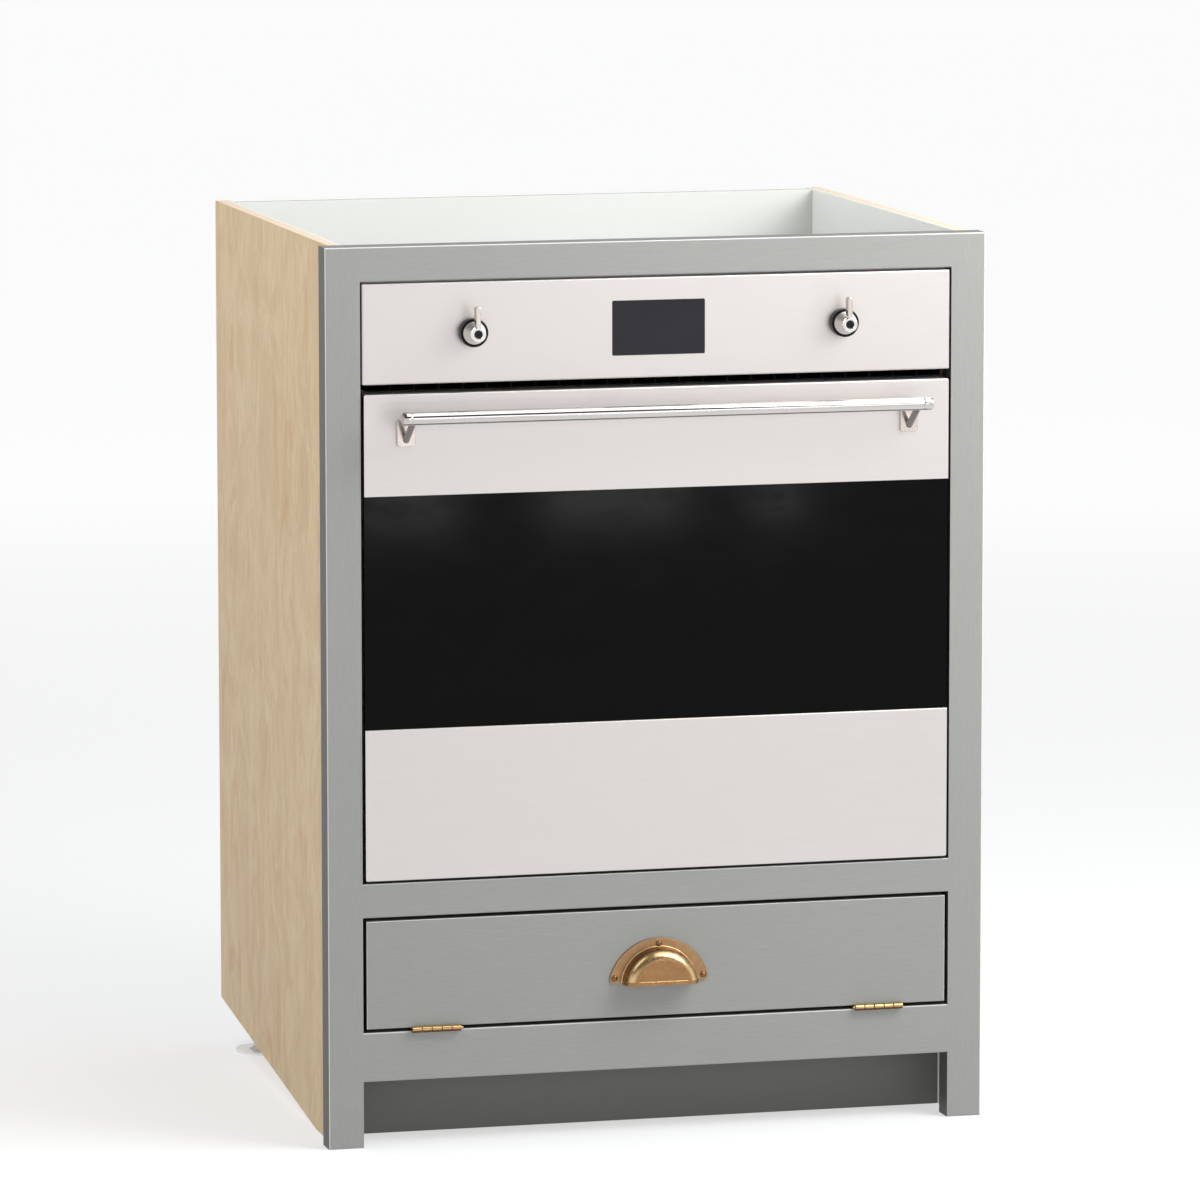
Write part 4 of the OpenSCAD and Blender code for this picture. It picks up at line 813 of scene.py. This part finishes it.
def handle():
    """Round bar with end caps, and a bracket plate with a slanted rod at each end."""
    low, high = in_mm("handle_fittings")
    bar_low, bar_high = in_mm("handle_bar")
    y, z = (bar_low.y + bar_high.y) / 2, (bar_low.z + bar_high.z) / 2
    radius = (bar_high.z - bar_low.z) / 2
    neck = radius - 0.35
    joint, end = bar_high.x, high.x
    along = lambda a, b, h: (h, y + a, z + b)
    tube = bmesh.new()
    turned(tube, [(0.0, -joint + 0.5), (neck, -joint + 0.5), (neck, -joint + 0.9),
                  (radius, -joint + 1.3), (radius, joint - 1.3), (neck, joint - 0.9),
                  (neck, joint - 0.5), (0.0, joint - 0.5)], along, count=64)
    piece("handle_tube", tube, "oven_door", [bright_steel], ["handle_bar"],
          sharp=24)

    caps = bmesh.new()
    profile = [(0.0, joint - 0.6), (neck, joint - 0.6), (radius - 0.05, joint),
               (radius, joint + 0.3), (radius, end - 1.6), (radius - 0.3, end - 0.7),
               (radius - 1.1, end - 0.1), (radius - 2.0, end), (0.0, end)]
    for side in (-1, 1):
        turned(caps, [(r, side * h) for r, h in profile], along, count=64)
    piece("handle_caps", caps, "oven_door", [bright_steel],
          ["handle_fittings"], sharp=24)

    plate_w, plate_h, plate_t, corner, rod_r, inset = 18.0, 26.0, 3.0, 3.0, 3.3, 12.5
    door_y = in_mm("door_band_upper")[0].y
    half = plate_w / 2 - corner
    foot, top = low.z + corner, low.z + plate_h - corner
    turns = ((half, top), (-half, top), (-half, foot), (half, foot))
    plates = bmesh.new()
    rods = bmesh.new()
    for side in (-1, 1):
        x = side * (end - inset)
        outline = []
        for i, (a, b) in enumerate(turns):
            outline += arc((x + a, b), corner, 90 * i, 90 * i + 90, 6)
        prism(plates, outline, facing, door_y - plate_t, door_y)
        start = Vector((x, door_y - plate_t + 0.6, low.z + 6.4))
        finish = Vector((x, y, z))
        ahead = (finish - start).normalized()
        across = Vector((1, 0, 0))
        up = across.cross(ahead)
        stop = finish - ahead * (radius - 0.4)
        path = [start + (stop - start) * (i / 6) for i in range(7)]
        swept(rods, path, [(across, up)] * 7, arc((0, 0), rod_r, 0, 360, 40)[:-1])
    piece("handle_plates", plates, "oven_door", [plate_steel], round_by=0.6,
          steps=3)
    piece("handle_rods", rods, "oven_door", [rod_steel], sharp=40)


handle()


# ---------- room ----------

def camera():
    """The photograph's viewpoint: a long lens from the left, a little above."""
    turn, tilt, roll = math.radians(-14.59), math.radians(7.84), math.radians(-0.04)
    back = Vector((math.sin(turn) * math.cos(tilt), -math.cos(turn) * math.cos(tilt),
                   math.sin(tilt)))
    level = Vector((math.cos(turn), math.sin(turn), 0))
    upright = back.cross(level)
    right = level * math.cos(roll) + upright * math.sin(roll)
    up = upright * math.cos(roll) - level * math.sin(roll)
    data = bpy.data.cameras.new("camera")
    data.sensor_width = 36
    data.sensor_fit = "HORIZONTAL"
    data.lens = 232.3
    data.clip_end = 200
    obj = bpy.data.objects.new("camera", data)
    bpy.context.scene.collection.objects.link(obj)
    rotation = Matrix((right, up, back)).transposed().to_4x4()
    obj.matrix_world = Matrix.Translation((-1.9590, -7.5533, 1.5748)) @ rotation
    bpy.context.scene.camera = obj


def floor():
    """Pale studio floor that glows, more strongly with distance, so that it runs into the
    backdrop.
    """
    bm = bmesh.new()
    reach = 60.0
    bm.faces.new([bm.verts.new((x, y, 0)) for x, y in
                  ((-reach, -reach), (reach, -reach), (reach, reach), (-reach, reach))])
    mesh = bpy.data.meshes.new("floor")
    bm.to_mesh(mesh)
    bm.free()
    dim, pale = (0.437, 0.445, 0.452), (0.447, 0.454, 0.461)
    look = Look("floor", dim, Roughness=0.75, Specular_IOR_Level=0.2,
                Emission_Color=(0.998, 0.999, 1, 1))
    cloud = look.noise((900, 900, 900), detail=2.0)
    look.colour(look.mix(look.spread(cloud, 0.3, 0.7), dim, pale))
    away = look.add("ShaderNodeVectorMath", look.place, operation="LENGTH", out=1)
    # Painted light: the floor glows from 0.55 near the cabinet to 0.84 five metres out, which also
    # lightens the cabinet's shadow on it.
    look.fill(look.shader.inputs["Emission Strength"], look.spread(away, 300, 5000, 0.55, 0.84))
    mesh.materials.append(look.material)
    obj = bpy.data.objects.new("floor", mesh)
    bpy.context.scene.collection.objects.link(obj)


def softbox(name, place, target, width, height, power):
    """Rectangular light, in metres and watts, that faces its target."""
    data = bpy.data.lights.new(name, "AREA")
    data.shape = "RECTANGLE"
    data.size, data.size_y = width, height
    data.energy = power
    obj = bpy.data.objects.new(name, data)
    bpy.context.scene.collection.objects.link(obj)
    obj.location = place
    obj.visible_camera = False
    obj.rotation_euler = (Vector(place) - Vector(target)).to_track_quat("Z", "Y").to_euler()


def backdrop(horizon, gap, over):
    """Bright round the horizon, with a dim band above it and a little more light overhead."""
    sky = bpy.data.worlds.new("studio")
    sky.use_nodes = True
    nodes, links = sky.node_tree.nodes, sky.node_tree.links
    where = nodes.new("ShaderNodeTexCoord")
    parts = nodes.new("ShaderNodeSeparateXYZ")
    links.new(where.outputs["Generated"], parts.inputs[0])
    both = nodes.new("ShaderNodeMath")
    # Each fade runs between two heights, which are sines of the angle above the horizon.
    fades = ((0.29, 0.36, horizon, gap), (0.56, 0.7, 0.0, over - gap))
    for slot, settings in enumerate(fades):
        fade = nodes.new("ShaderNodeMapRange")
        fade.interpolation_type = "SMOOTHSTEP"
        links.new(parts.outputs["Z"], fade.inputs["Value"])
        for index, value in enumerate(settings, 1):
            fade.inputs[index].default_value = value
        links.new(fade.outputs["Result"], both.inputs[slot])
    links.new(both.outputs[0], nodes["Background"].inputs["Strength"])
    nodes["Background"].inputs["Color"].default_value = (1, 1, 1, 1)
    bpy.context.scene.world = sky


camera()
floor()
backdrop(1.0, 0.08, 0.15)
softbox("right_key", (1.5, -1.3, 1.7), (0.3, -0.2, 0.7), 1.2, 1.2, 28)
softbox("near_key", (0.8, -0.9, 1.5), (0.1, -0.2, 0.8), 1.0, 0.5, 8)
softbox("left_fill", (-0.9, 0.0, 2.2), (0.3, 0.2, 0.8), 0.5, 0.5, 7)
softbox("left_over", (-1.9, -0.3, 2.3), (-0.1, -0.2, 0.5), 1.2, 1.8, 14)
softbox("overhead", (0.7, -0.45, 2.9), (0.7, -0.45, 0), 1.5, 3.6, 36)
softbox("front", (1.55, -6.0, 1.6), (0.2, -0.3, 0.7), 1.6, 1.8, 11.5)
# Low strips that show as soft patches in the door's black glass
for x, width in ((0.504, 0.14), (0.807, 0.21), (1.045, 0.08)):
    softbox("strip", (x, -3.5, 0.235), (x, 0, 0.235), width, 0.1, 1.7 * width)
bpy.context.scene.view_settings.view_transform = "Standard"
